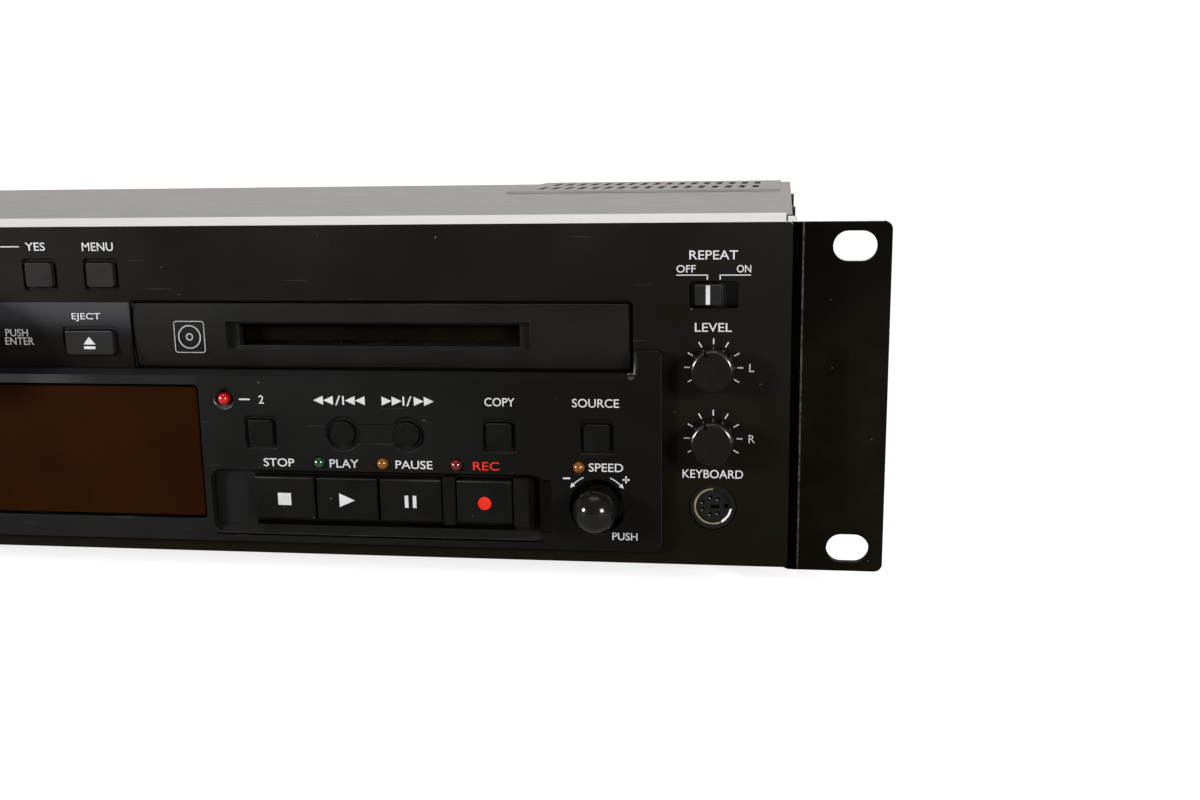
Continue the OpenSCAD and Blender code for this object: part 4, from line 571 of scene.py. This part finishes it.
# the keyboard socket: a black core with six contacts and a key slot, in a thin shell
core = {"x": 199.0, "h": 15.0, "radius": 4.05, "face": 1.5, "back": 5.0, "pin": 0.5, "bead": 0.2,
        "pins": [(-2.6, 0.9), (-2.56, -0.9), (-0.62, 2.2), (-0.7, -2.14), (1.3, 1.73), (1.25, -1.87)],
        "slots": [(-0.55, -0.68, 2.1, 0.96), (2.75, -0.6, 0.9, 1.1)], "clear": 4.3, "clearBack": 7.5,
        "clearReach": 6.6, "beadAt": (-0.25, -0.32), "beadBack": 0.6, "beadReach": 0.5,
        "shell": (4.22, 4.68), "shellFront": 0.85, "shellBack": 3.5, "bright": (98, 150), "dark": 96}
phonesRing = {"radius": 4.35, "back": 6.0}
rearSockets = {"shells": 284.6, "mains": (-150.0, 34.0), "pins": (-7.0, 0.0, 7.0), "pinHalf": (1.2, 4.4),
               "pinDepth": (271.0, 283.0)}
sx, sh = core["x"], core["h"]


def rearSocketFinish(x, h, d, *facing):
    # brass shells on the right, the mains inlet's bright pins on the left
    if x > 0:
        return 0 if d > rearSockets["shells"] else None
    (mainsX, mainsH), (halfX, halfH) = rearSockets["mains"], rearSockets["pinHalf"]
    near = abs(h - mainsH) < halfH and any(abs(x - mainsX - pin) < halfX for pin in rearSockets["pins"])
    return 1 if near and rearSockets["pinDepth"][0] < d < rearSockets["pinDepth"][1] else None


byFace(softened["front_sockets"], ["socketChrome"], lambda x, h, d, *facing: 0 if x < 0 and
       math.hypot(x + sx, h - sh) > phonesRing["radius"] and d < phonesRing["back"] else None)
byFace(softened["rear_sockets"], ["socketBrass", "socketChrome"], rearSocketFinish)


def ringEdges(bm, centre, radius, count, y):
    made = bmesh.ops.create_circle(bm, cap_ends=False, radius=radius * mm, segments=count)
    bmesh.ops.rotate(bm, verts=made["verts"], cent=(0.0, 0.0, 0.0), matrix=Matrix.Rotation(math.radians(90), 3, "X"))
    bmesh.ops.translate(bm, verts=made["verts"], vec=(centre[0] * mm, y, panelZ + centre[1] * mm))


def drawnOutlines(bm, reach):
    # fills the outlines in bm and draws them out to the front by reach
    bmesh.ops.triangle_fill(bm, use_beauty=True, use_dissolve=False, edges=bm.edges, normal=(0.0, -1.0, 0.0))
    drawOut(bm, bm.faces[:], (0.0, -reach * mm, 0.0))
    outward(bm)


bm = bmesh.new()
ringEdges(bm, (sx, sh), core["clear"], 64, faceY + core["clearBack"] * mm)
drawnOutlines(bm, core["clearReach"])
carve(softened["front_sockets"], bm)

bm = bmesh.new()
backY = faceY + core["back"] * mm
ringEdges(bm, (sx, sh), core["radius"], 64, backY)
for px, ph in core["pins"]:
    ringEdges(bm, (sx + px, sh + ph), core["pin"], 16, backY)
for a, b, wide, tall in core["slots"]:
    corners = [bm.verts.new(front(x, h, core["back"]))
               for x, h in boxCorners(sx + a, sh + b, sx + a + wide, sh + b + tall)]
    for first, second in zip(corners, corners[1:] + corners[:1]):
        bm.edges.new((first, second))
drawnOutlines(bm, core["back"] - core["face"])
pieceFrom(bm, "keyboardSocketFace", "socketBlackAndShade")

bm = bmesh.new()
for px, ph in core["pins"]:
    ringEdges(bm, (sx + px + core["beadAt"][0], sh + ph + core["beadAt"][1]), core["bead"], 12,
              faceY + (core["face"] + core["beadBack"]) * mm)
drawnOutlines(bm, core["beadReach"])
pieceFrom(bm, "keyboardContacts", "socketChrome")

bm = bmesh.new()
for radius in core["shell"]:
    ringEdges(bm, (sx, sh), radius, 96, faceY + core["shellBack"] * mm)
drawnOutlines(bm, core["shellBack"] - core["shellFront"])
shell = pieceFrom(bm, "keyboardShell", "shellBrass")


def shellFinish(x, h, d, *facing):
    # a painted highlight at the lower right, painted shade at the upper right, brassy elsewhere
    angle = math.degrees(math.atan2(x - sx, h - sh)) % 360
    return 0 if core["bright"][0] < angle < core["bright"][1] else 1 if angle < core["dark"] else None


byFace(shell, ["shellHighlight", "socketBlackAndShade"], shellFinish)
print("sockets done")


def flatLine(bm, a, b, width, d=0.0, thick=inkThick):
    # a straight printed line between two places
    dx, dh = b[0] - a[0], b[1] - a[1]
    reach = math.hypot(dx, dh)
    nx, nh = -dh / reach * width / 2, dx / reach * width / 2
    flatPatch(bm, [(a[0] + nx, a[1] + nh), (b[0] + nx, b[1] + nh), (b[0] - nx, b[1] - nh), (a[0] - nx, a[1] - nh)],
              d, thick)


def flatArc(bm, centre, radius, start, end, width, d=0.0):
    # a printed arc; angles in degrees from straight up, clockwise
    steps = max(2, int(abs(end - start) / 6))
    inner, outer = radius - width / 2, radius + width / 2
    turn = [math.radians(start + (end - start) * i / steps) for i in range(steps + 1)]
    for a, b in zip(turn, turn[1:]):
        flatPatch(bm, [(centre[0] + r * math.sin(t), centre[1] + r * math.cos(t))
                       for r, t in ((inner, a), (outer, a), (outer, b), (inner, b))], d)


def roundedFrame(bm, left, foot, right, top, corner, width, d):
    # lines along the middle of a frame, with arcs at its corners
    for x0, h0, x1, h1 in (
            (left + corner, foot, right - corner, foot), (left + corner, top, right - corner, top),
            (left, foot + corner, left, top - corner), (right, foot + corner, right, top - corner)):
        flatLine(bm, (x0, h0), (x1, h1), width, d)
    for x, h, turn in ((right - corner, top - corner, 0), (right - corner, foot + corner, 90),
                       (left + corner, foot + corner, 180), (left + corner, top - corner, 270)):
        flatArc(bm, (x, h), corner, turn, turn + 90, width, d)


def addWord(bm, text, x, h, width=None, capHeight=2.15, d=0.0):
    # letters from the built-in font, emboldened, centred on a place
    curve = bpy.data.curves.new("word", "FONT")
    curve.body = text
    curve.size = 1.0
    curve.offset = 0.006
    curve.extrude = 0.01
    curve.resolution_u = 4
    holder = inScene("word", curve)
    mesh = finalMesh(holder)
    bpy.data.objects.remove(holder)
    bpy.data.curves.remove(curve)
    xs, ys, zs = ([v.co[axis] for v in mesh.vertices] for axis in range(3))
    tall = capHeight / (max(ys) - min(ys))
    wide = width / (max(xs) - min(xs)) if width else tall
    centreX, centreY = (max(xs) + min(xs)) / 2, (max(ys) + min(ys)) / 2
    before = set(bm.verts)
    bm.from_mesh(mesh)
    bpy.data.meshes.remove(mesh)
    for v in bm.verts:
        if v not in before:
            out = (v.co.z - min(zs)) / (max(zs) - min(zs)) * (inkThick + sunk) - sunk
            v.co = front(x + (v.co.x - centreX) * wide, h + (v.co.y - centreY) * tall, d - out)


# text, centre x, centre h, width, cap height where it isn't the usual
panelWords = [
    ("YES", 25.6, 80.0, 5.4), ("MENU", 42.6, 79.9, 8.4), ("EJECT", 37.8, 61.9, 7.9), ("PUSH", 18.1, 57.8, 6.3, 1.95),
    ("ENTER", 18.7, 55.6, 8.0, 1.95), ("REPEAT", 198.9, 77.3, 11.6), ("OFF", 192.3, 74.0, 4.6, 1.8),
    ("ON", 206.1, 74.0, 3.4, 1.8), ("LEVEL", 198.9, 59.9, 8.9), ("L", 208.2, 50.1, 1.2, 2.0),
    ("R", 208.4, 32.5, 1.5, 2.0), ("KEYBOARD", 198.95, 23.5, 14.9), ("NO", -26.2, 80.0, 3.9),
    ("OPEN", -37.8, 61.9, 7.2), ("POWER", -199.0, 77.3, 10.2), ("TIMER", -199.0, 60.2, 9.0),
    ("OFF", -205.7, 56.3, 4.6, 1.8), ("ON", -191.9, 56.3, 3.4, 1.8), ("PHONES", -199.0, 42.3, 11.4)]
plateWords = [
    ("2", 84.5, 41.35, 1.35), ("COPY", 146.3, 41.4, 7.6), ("SOURCE", 170.3, 41.4, 11.6), ("STOP", 88.2, 25.0, 8.2),
    ("PLAY", 105.5, 25.0, 7.6), ("PAUSE", 123.8, 25.0, 9.6), ("SPEED", 172.7, 25.2, 8.6),
    ("PUSH", 177.3, 7.6, 6.3, 1.95), ("1", -84.5, 41.35, 0.95), ("STOP", -88.2, 25.0, 8.2),
    ("PLAY", -105.5, 25.0, 7.6), ("PAUSE", -123.8, 25.0, 9.6), ("SPEED", -174.4, 25.2, 8.6),
    ("PUSH", -163.5, 7.6, 6.3, 1.95)]

bm = bmesh.new()
for word in panelWords:
    addWord(bm, *word)

ticks = {"centres": [(199.0, 50.1), (199.0, 32.5), (-199.0, 32.5)], "inner": 5.72, "outer": 7.18,
         "angles": range(-120, 121, 30), "width": 0.3}
for cx, ch in ticks["centres"]:
    for angle in ticks["angles"]:
        s, c = math.sin(math.radians(angle)), math.cos(math.radians(angle))
        near, far = ((cx + ticks[key] * s, ch + ticks[key] * c) for key in ("inner", "outer"))
        flatLine(bm, near, far, ticks["width"])

brackets = {"sets": [(190.0, 72.5), (-208.0, 54.8)], "strokes": [(0.0, 7.6, 7.42), (10.3, 17.8, 10.48)],
            "drop": 1.1, "line": 0.24, "hook": 0.3}
for x, h in brackets["sets"]:
    for start, end, hook in brackets["strokes"]:
        flatLine(bm, (x + start, h), (x + end, h), brackets["line"])
        flatLine(bm, (x + hook, h), (x + hook, h - brackets["drop"]), brackets["hook"])
menuDashes = {"lines": [(16.0, 21.2), (-16.0, -21.6)], "h": 80.0, "width": 0.28}
for a, b in menuDashes["lines"]:
    flatLine(bm, (a, menuDashes["h"]), (b, menuDashes["h"]), menuDashes["width"])
pieceFrom(bm, "panelPrint", "inkWhite")

# a plain disc sign on each door
disc = {"x": 65.4, "h": 56.9, "outer": 2.9, "hole": 0.8, "line": 0.34, "half": 4.0, "corner": 0.7, "frame": 0.22,
        "face": 0.2}
for side, node in ((1, "md_bezel"), (-1, "tray_front")):
    bm = bmesh.new()
    x, h, half = side * disc["x"], disc["h"], disc["half"]
    for radius in (disc["outer"], disc["hole"]):
        flatArc(bm, (x, h), radius, 0, 360, disc["line"], disc["face"])
    roundedFrame(bm, x - half, h - half, x + half, h + half, disc["corner"], disc["frame"], disc["face"])
    pieceFrom(bm, node + "Sign", "inkGrey", bodyOfNode[node])

bm = bmesh.new()
for word in plateWords:
    addWord(bm, *word, d=plateD)

# left side of each sign and which way it points; two arrows, a stroke, a bar and two arrows
skips = {"places": [(98.3, -1), (116.0, 1), (-111.9, 1), (-129.6, -1)], "h": 41.35, "tall": 1.15, "arrow": 2.55,
         "bar": 0.45, "length": 13.6, "stroke": (0.6, 1.0), "lean": 0.5, "over": 0.1,
         "spots": [("arrow", 0.0), ("arrow", 2.6), ("stroke", 5.6), ("bar", 7.6), ("arrow", 8.3), ("arrow", 10.9)]}
for x, direction in skips["places"]:
    tall, lean = skips["tall"], direction * skips["lean"]
    for kind, start in skips["spots"]:
        if kind == "arrow":
            corners = [(start, 0.0), (start + skips["arrow"], tall), (start + skips["arrow"], -tall)]
        elif kind == "bar":
            corners = boxCorners(start, tall, start + skips["bar"], -tall)
        else:
            (a, b), c = skips["stroke"], tall + skips["over"]
            corners = [(start + a - lean, c), (start + b - lean, c), (start + b + lean, -c), (start + a + lean, -c)]
        if direction > 0:
            corners = [(skips["length"] - cx, ch) for cx, ch in corners]
        flatPatch(bm, [(x + cx, skips["h"] + ch) for cx, ch in corners], plateD)

speeds = {"x": 170.4, "h": 15.1, "radius": 8.2, "from": 24, "to": 46, "line": 0.28, "tip": 1.2, "signWidth": 0.4,
          "signs": [((-8.5, 22.3), (-6.7, 22.3)), ((6.4, 22.2), (8.2, 22.2)), ((7.3, 23.1), (7.3, 21.3))]}
for centreX in (speeds["x"], -speeds["x"]):
    centre, radius, tip = (centreX, speeds["h"]), speeds["radius"], speeds["tip"]
    for side in (1, -1):
        flatArc(bm, centre, radius, side * speeds["from"], side * speeds["to"], speeds["line"], plateD)
        t = math.radians(side * speeds["to"])
        along = (math.cos(t) * side, -math.sin(t) * side)
        across = (math.sin(t), math.cos(t))
        end = (centre[0] + radius * across[0], centre[1] + radius * across[1])
        flatPatch(bm, [(end[0] + along[0] * tip, end[1] + along[1] * tip),
                       (end[0] + across[0] * tip * 0.5, end[1] + across[1] * tip * 0.5),
                       (end[0] - across[0] * tip * 0.5, end[1] - across[1] * tip * 0.5)], plateD)
    for a, b in speeds["signs"]:
        flatLine(bm, (centreX + a[0], a[1]), (centreX + b[0], b[1]), speeds["signWidth"], plateD)
dash = {"from": 78.6, "to": 81.5, "h": 41.35, "width": 0.4}
for side in (1, -1):
    flatLine(bm, (side * dash["from"], dash["h"]), (side * dash["to"], dash["h"]), dash["width"], plateD)
pieceFrom(bm, "platePrint", "inkWhite")

bm = bmesh.new()
addWord(bm, "REC", 142.4, 25.0, 6.7, d=plateD)
pieceFrom(bm, "recordPrint", "inkRed")

rim = {"wide": 0.5, "corner": 1.3}
low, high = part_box("display_window")
half = rim["wide"] / 2
bm = bmesh.new()
roundedFrame(bm, low.x / mm + half, (low.z - panelZ) / mm + half, high.x / mm - half, (high.z - panelZ) / mm - half,
             rim["corner"] - half, rim["wide"], (low.y - faceY) / mm)
pieceFrom(bm, "windowRim", "seamAndShadeBlack")

# the dark seams round the doors; the line above them is painted shade, standing for a groove in the panel
seams = {"lines": [((50.3, 66.15), (178.7, 66.15), 0.34), ((50.1, 48.9), (50.1, 65.75), 0.5),
                   ((50.1, 48.93), (178.7, 48.93), 0.44), ((179.05, 48.9), (179.05, 65.75), 0.75)], "thick": 0.01}
bm = bmesh.new()
for side in (1, -1):
    for a, b, wide in seams["lines"]:
        flatLine(bm, (side * a[0], a[1]), (side * b[0], b[1]), wide, 0.0, seams["thick"])
outward(bm)
pieceFrom(bm, "doorLines", "seamAndShadeBlack")

# in the wells: lit floor beside the keys, the keys' shadow under them, and the line along the ledge
wells = {"lit": ((69.9, 7.9), (80.5, 22.8)), "shadow": ((80.5, 7.8), (149.2, 9.05)),
         "line": ((69.9, 5.45), (156.8, 5.85)), "fillers": [(131.2, 134.0), (149.4, 153.1)], "thick": 0.02,
         "behindKeys": 0.1, "lift": 0.05, "soft": 0.3}
for name, spot, d, finishName in (("wellLit", "lit", 0.0, "paintedLitFloor"), ("wellShadow", "shadow", 0.0, "seamAndShadeBlack"),
                                  ("ledgeLine", "line", plateD, "seamAndShadeBlack")):
    a, b = wells[spot]
    patchPiece(name, "front_panel", finishName,
               [boxCorners(side * a[0], a[1], side * b[0], b[1]) for side in (1, -1)], d, wells["thick"],
               recalculated=True)
low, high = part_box("record_key")
near, far = low.y + wells["behindKeys"] * mm, faceY + wells["lift"] * mm
bm = bmesh.new()
for a, b in wells["fillers"]:
    prism(bm, [Vector((x * mm, y, low.z)) for x, y in ((a, near), (b, near), (b, far), (a, far))],
          Vector((0.0, 0.0, high.z - low.z)))
easeEdges(bm, wells["soft"] * mm)
smoothShade(bm)
pieceFrom(bm, "wellFillers", "keyBlack")

# the stretch of the plate over the window, which catches light towards the middle
plateStrip = {"side": 67.6, "low": 45.1, "high": 47.35, "thick": 0.01}
patchPiece("plateStrip", "centre_plate", "plateLit",
           [boxCorners(-plateStrip["side"], plateStrip["high"], plateStrip["side"], plateStrip["low"])], plateD,
           plateStrip["thick"], recalculated=True)

slideLine = {"wide": 1.0, "tall": 4.6}
for name, node in (("playModeLine", "play_mode_switch"), ("timerLine", "timer_switch")):
    x, h, d = faceOf(node)
    half, tall = slideLine["wide"] / 2, slideLine["tall"] / 2
    patchPiece(name, node, "inkWhite", [boxCorners(x - half, h - tall, x + half, h + tall)], d)


def keySign(name, node, patches, ink="inkWhite"):
    patchPiece(name, node, ink, patches, faceOf(node)[2])


signs = {"h": 15.4, "tall": 1.6, "stopX": 89.2, "stopHalf": 1.75, "playX": 105.9, "playLong": 4.1, "playHalf": 1.8,
         "pauseX": 122.6, "pauseBar": 0.95, "pauseShift": 1.04625, "recordX": 141.8, "recordRadius": 1.7,
         "doorX": 38.3, "doorH": 55.3, "doorHalf": 1.65, "doorFoot": -0.4, "doorBar": (1.55, -0.9, -1.6)}
h, top, foot = signs["h"], signs["h"] + signs["tall"], signs["h"] - signs["tall"]
for prefix, side in (("", 1), ("cd_", -1)):
    mark = prefix.strip("_")
    x, half = side * signs["stopX"], signs["stopHalf"]
    keySign("stopSign" + mark, prefix + "stop_key", [boxCorners(x - half, top, x + half, foot)])
    x, half = side * signs["playX"] - signs["playLong"] / 2, signs["playHalf"]
    keySign("playSign" + mark, prefix + "play_key", [[(x, h + half), (x + signs["playLong"], h), (x, h - half)]])
    bars = [side * signs["pauseX"] + shift * signs["pauseShift"] for shift in (-1, 1)]
    half = signs["pauseBar"] / 2
    keySign("pauseSign" + mark, prefix + "pause_key", [boxCorners(x - half, top, x + half, foot) for x in bars])
x, reach = signs["recordX"], signs["recordRadius"]
keySign("recordSign", "record_key", [[(x + reach * math.sin(math.radians(a)), h + reach * math.cos(math.radians(a)))
                                      for a in range(0, 360, 15)]], "inkRed")
for name, node, side in (("ejectSign", "eject_key", 1), ("openSign", "open_key", -1)):
    x, h, half, foot = side * signs["doorX"], signs["doorH"], signs["doorHalf"], signs["doorFoot"]
    barHalf, barTop, barFoot = signs["doorBar"]
    keySign(name, node, [[(x - half, h + foot), (x, h + signs["tall"]), (x + half, h + foot)],
                         boxCorners(x - barHalf, h + barTop, x + barHalf, h + barFoot)])

rear = {"columns": [40.0, 58.0, 76.0, 94.0, 112.0, 130.0], "rows": [30.0, 48.0], "inner": 4.78, "outer": 6.1,
        "thick": 0.5, "lift": 0.01, "cap": 2.4, "names": ["IN 1", "OUT 1", "IN 2", "OUT 2", "IN 3", "OUT 3"],
        "namesH": 58.6, "words": [("L", 141.5, 48.0), ("R", 141.5, 30.0), ("AC IN", -150.0, 49.6)],
        "divider": (22.0, 61.0, 0.35)}
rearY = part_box("rear_panel")[1].y


def toRear(bm):
    # turns what was drawn on the front to the back, where +X is on the left
    for v in bm.verts:
        v.co = Vector((-v.co.x, rearY + faceY - v.co.y, v.co.z))
    outward(bm)


for row, finishName in zip(rear["rows"], ("ringRed", "ringWhite")):
    bm = bmesh.new()
    for x in rear["columns"]:
        for radius in (rear["inner"], rear["outer"]):
            ringEdges(bm, (-x, row), radius, 48, faceY + rear["lift"] * mm)
    drawnOutlines(bm, rear["thick"])
    toRear(bm)
    pieceFrom(bm, finishName, finishName)
bm = bmesh.new()
names = [(name, x, rear["namesH"]) for x, name in zip(rear["columns"], rear["names"])]
for name, x, h in names + rear["words"]:
    addWord(bm, name, -x, h, capHeight=rear["cap"])
foot, top, width = rear["divider"]
for a, b in zip(rear["columns"][1::2], rear["columns"][2::2]):
    flatLine(bm, (-(a + b) / 2, foot), (-(a + b) / 2, top), width)
toRear(bm)
pieceFrom(bm, "rearPrint", "inkWhite")
print("prints done")

table = {"reach": 3.0, "back": 1.3, "tall": 1.8, "curve": 0.5, "backdrop": 0.03}
bm = bmesh.new()
bmesh.ops.create_grid(bm, x_segments=1, y_segments=1, size=table["reach"])
for v in bm.verts:
    if v.co.y > 0:
        v.co.y = table["back"]
backEdge = [e for e in bm.edges if all(v.co.y > table["back"] - 1e-4 for v in e.verts)]
risen = bmesh.ops.extrude_edge_only(bm, edges=backEdge)
bmesh.ops.translate(bm, verts=[v for v in risen["geom"] if isinstance(v, bmesh.types.BMVert)],
                    vec=(0.0, 0.0, table["tall"]))
corner = [e for e in bm.edges if len(e.link_faces) == 2]
bmesh.ops.bevel(bm, geom=corner, offset=table["curve"], offset_type="OFFSET", segments=12, profile=0.5,
                affect="EDGES", clamp_overlap=True, material=-1)
for face in bm.faces:
    face.smooth = True
sweep = inScene("tableSweep", meshFrom(bm, "tableSweep"))


def seenDirectly(tree, *rays):
    # 1 for rays of these kinds, 0 for all others
    light = addNode(tree, "ShaderNodeLightPath")
    seen = light.outputs[rays[0]]
    for ray in rays[1:]:
        seen = addNode(tree, "ShaderNodeMath", {0: seen, 1: light.outputs[ray]}, operation="MAXIMUM").outputs[0]
    return seen


def paperMaterial(name, rays, power, tint):
    # matt paper that glows for some rays, so that it looks white without lighting the deck
    paper = bpy.data.materials.new(name)
    paper.use_nodes = True
    tree = paper.node_tree
    glow = addNode(tree, "ShaderNodeMath", {0: seenDirectly(tree, *rays), 1: power}, operation="MULTIPLY")
    fillInputs(tree, tree.nodes["Principled BSDF"], {
        "Base Color": (0.40, 0.40, 0.40, 1.0), "Roughness": 0.9, "Specular IOR Level": 0.1,
        "Emission Color": tint, "Emission Strength": glow.outputs[0]})
    sweep.data.materials.append(paper)


direct = ("Is Camera Ray", "Is Transmission Ray")
paperMaterial("paperWhite", direct, 0.80, (1.0, 1.0, 1.0, 1.0))
paperMaterial("backdropWhite", direct + ("Is Glossy Ray",), 0.9, (1.0, 0.945, 0.925, 1.0))
for polygon in sweep.data.polygons:
    polygon.material_index = 1 if polygon.center.z > table["backdrop"] else 0

world = bpy.data.worlds.new("studio")
bpy.context.scene.world = world
world.use_nodes = True
tree = world.node_tree
power = addNode(tree, "ShaderNodeMapRange", {"Value": seenDirectly(tree, *direct), "To Min": 0.14, "To Max": 1.0})
fillInputs(tree, tree.nodes["Background"], {"Color": (1.0, 1.0, 1.0, 1.0), "Strength": power.outputs["Result"]})

shot = {"place": (0.2156, -0.47495, 0.1155), "yaw": 8.587, "pitch": 12.608, "roll": -0.936,
        "focal": 1391.74, "middle": (576.36, 445.97), "width": 1200.0, "height": 800.0}
yaw, pitch, roll = (math.radians(shot[key]) for key in ("yaw", "pitch", "roll"))
ahead = Vector((-math.sin(yaw) * math.cos(pitch), math.cos(yaw) * math.cos(pitch), -math.sin(pitch)))
level = Vector((math.cos(yaw), math.sin(yaw), 0.0))
above = level.cross(ahead)
rightWay = math.cos(roll) * level + math.sin(roll) * above
upWay = -math.sin(roll) * level + math.cos(roll) * above
camera = bpy.data.cameras.new("photoCamera")
camera.sensor_fit = "HORIZONTAL"
camera.sensor_width = 36.0
width, (middleX, middleY) = shot["width"], shot["middle"]
camera.lens = shot["focal"] / width * camera.sensor_width
camera.shift_x = (width / 2 - middleX) / width
camera.shift_y = (middleY - shot["height"] / 2) / width
camera.clip_start = 0.01
eye = inScene("photoCamera", camera)
eye.matrix_world = Matrix((
    *((rightWay[i], upWay[i], -ahead[i], shot["place"][i]) for i in range(3)), (0.0, 0.0, 0.0, 1.0)))
bpy.context.scene.camera = eye

studioLamps = {  # place, width, height, watts
    "leftSoftbox": ((-0.80, -0.78, 0.34), 0.3, 0.3, 17.0),
    "rightSoftbox": ((1.00, -0.90, 0.36), 0.3, 0.3, 17.0),
    "topSoftbox": ((0.1, 0.0, 1.6), 1.2, 1.2, 6.0)}
aim = Vector((0.15, -0.14, 0.05))
for name, (place, wide, tall, watts) in studioLamps.items():
    lampData = bpy.data.lights.new(name, "AREA")
    lampData.shape = "ELLIPSE"
    lampData.size = wide
    lampData.size_y = tall
    lampData.energy = watts
    lamp = inScene(name, lampData)
    lamp.location = place
    lamp.rotation_euler = (aim - Vector(place)).to_track_quat("-Z", "Y").to_euler()

bpy.context.scene.view_settings.view_transform = "Standard"
print("stage, lamps and camera set")
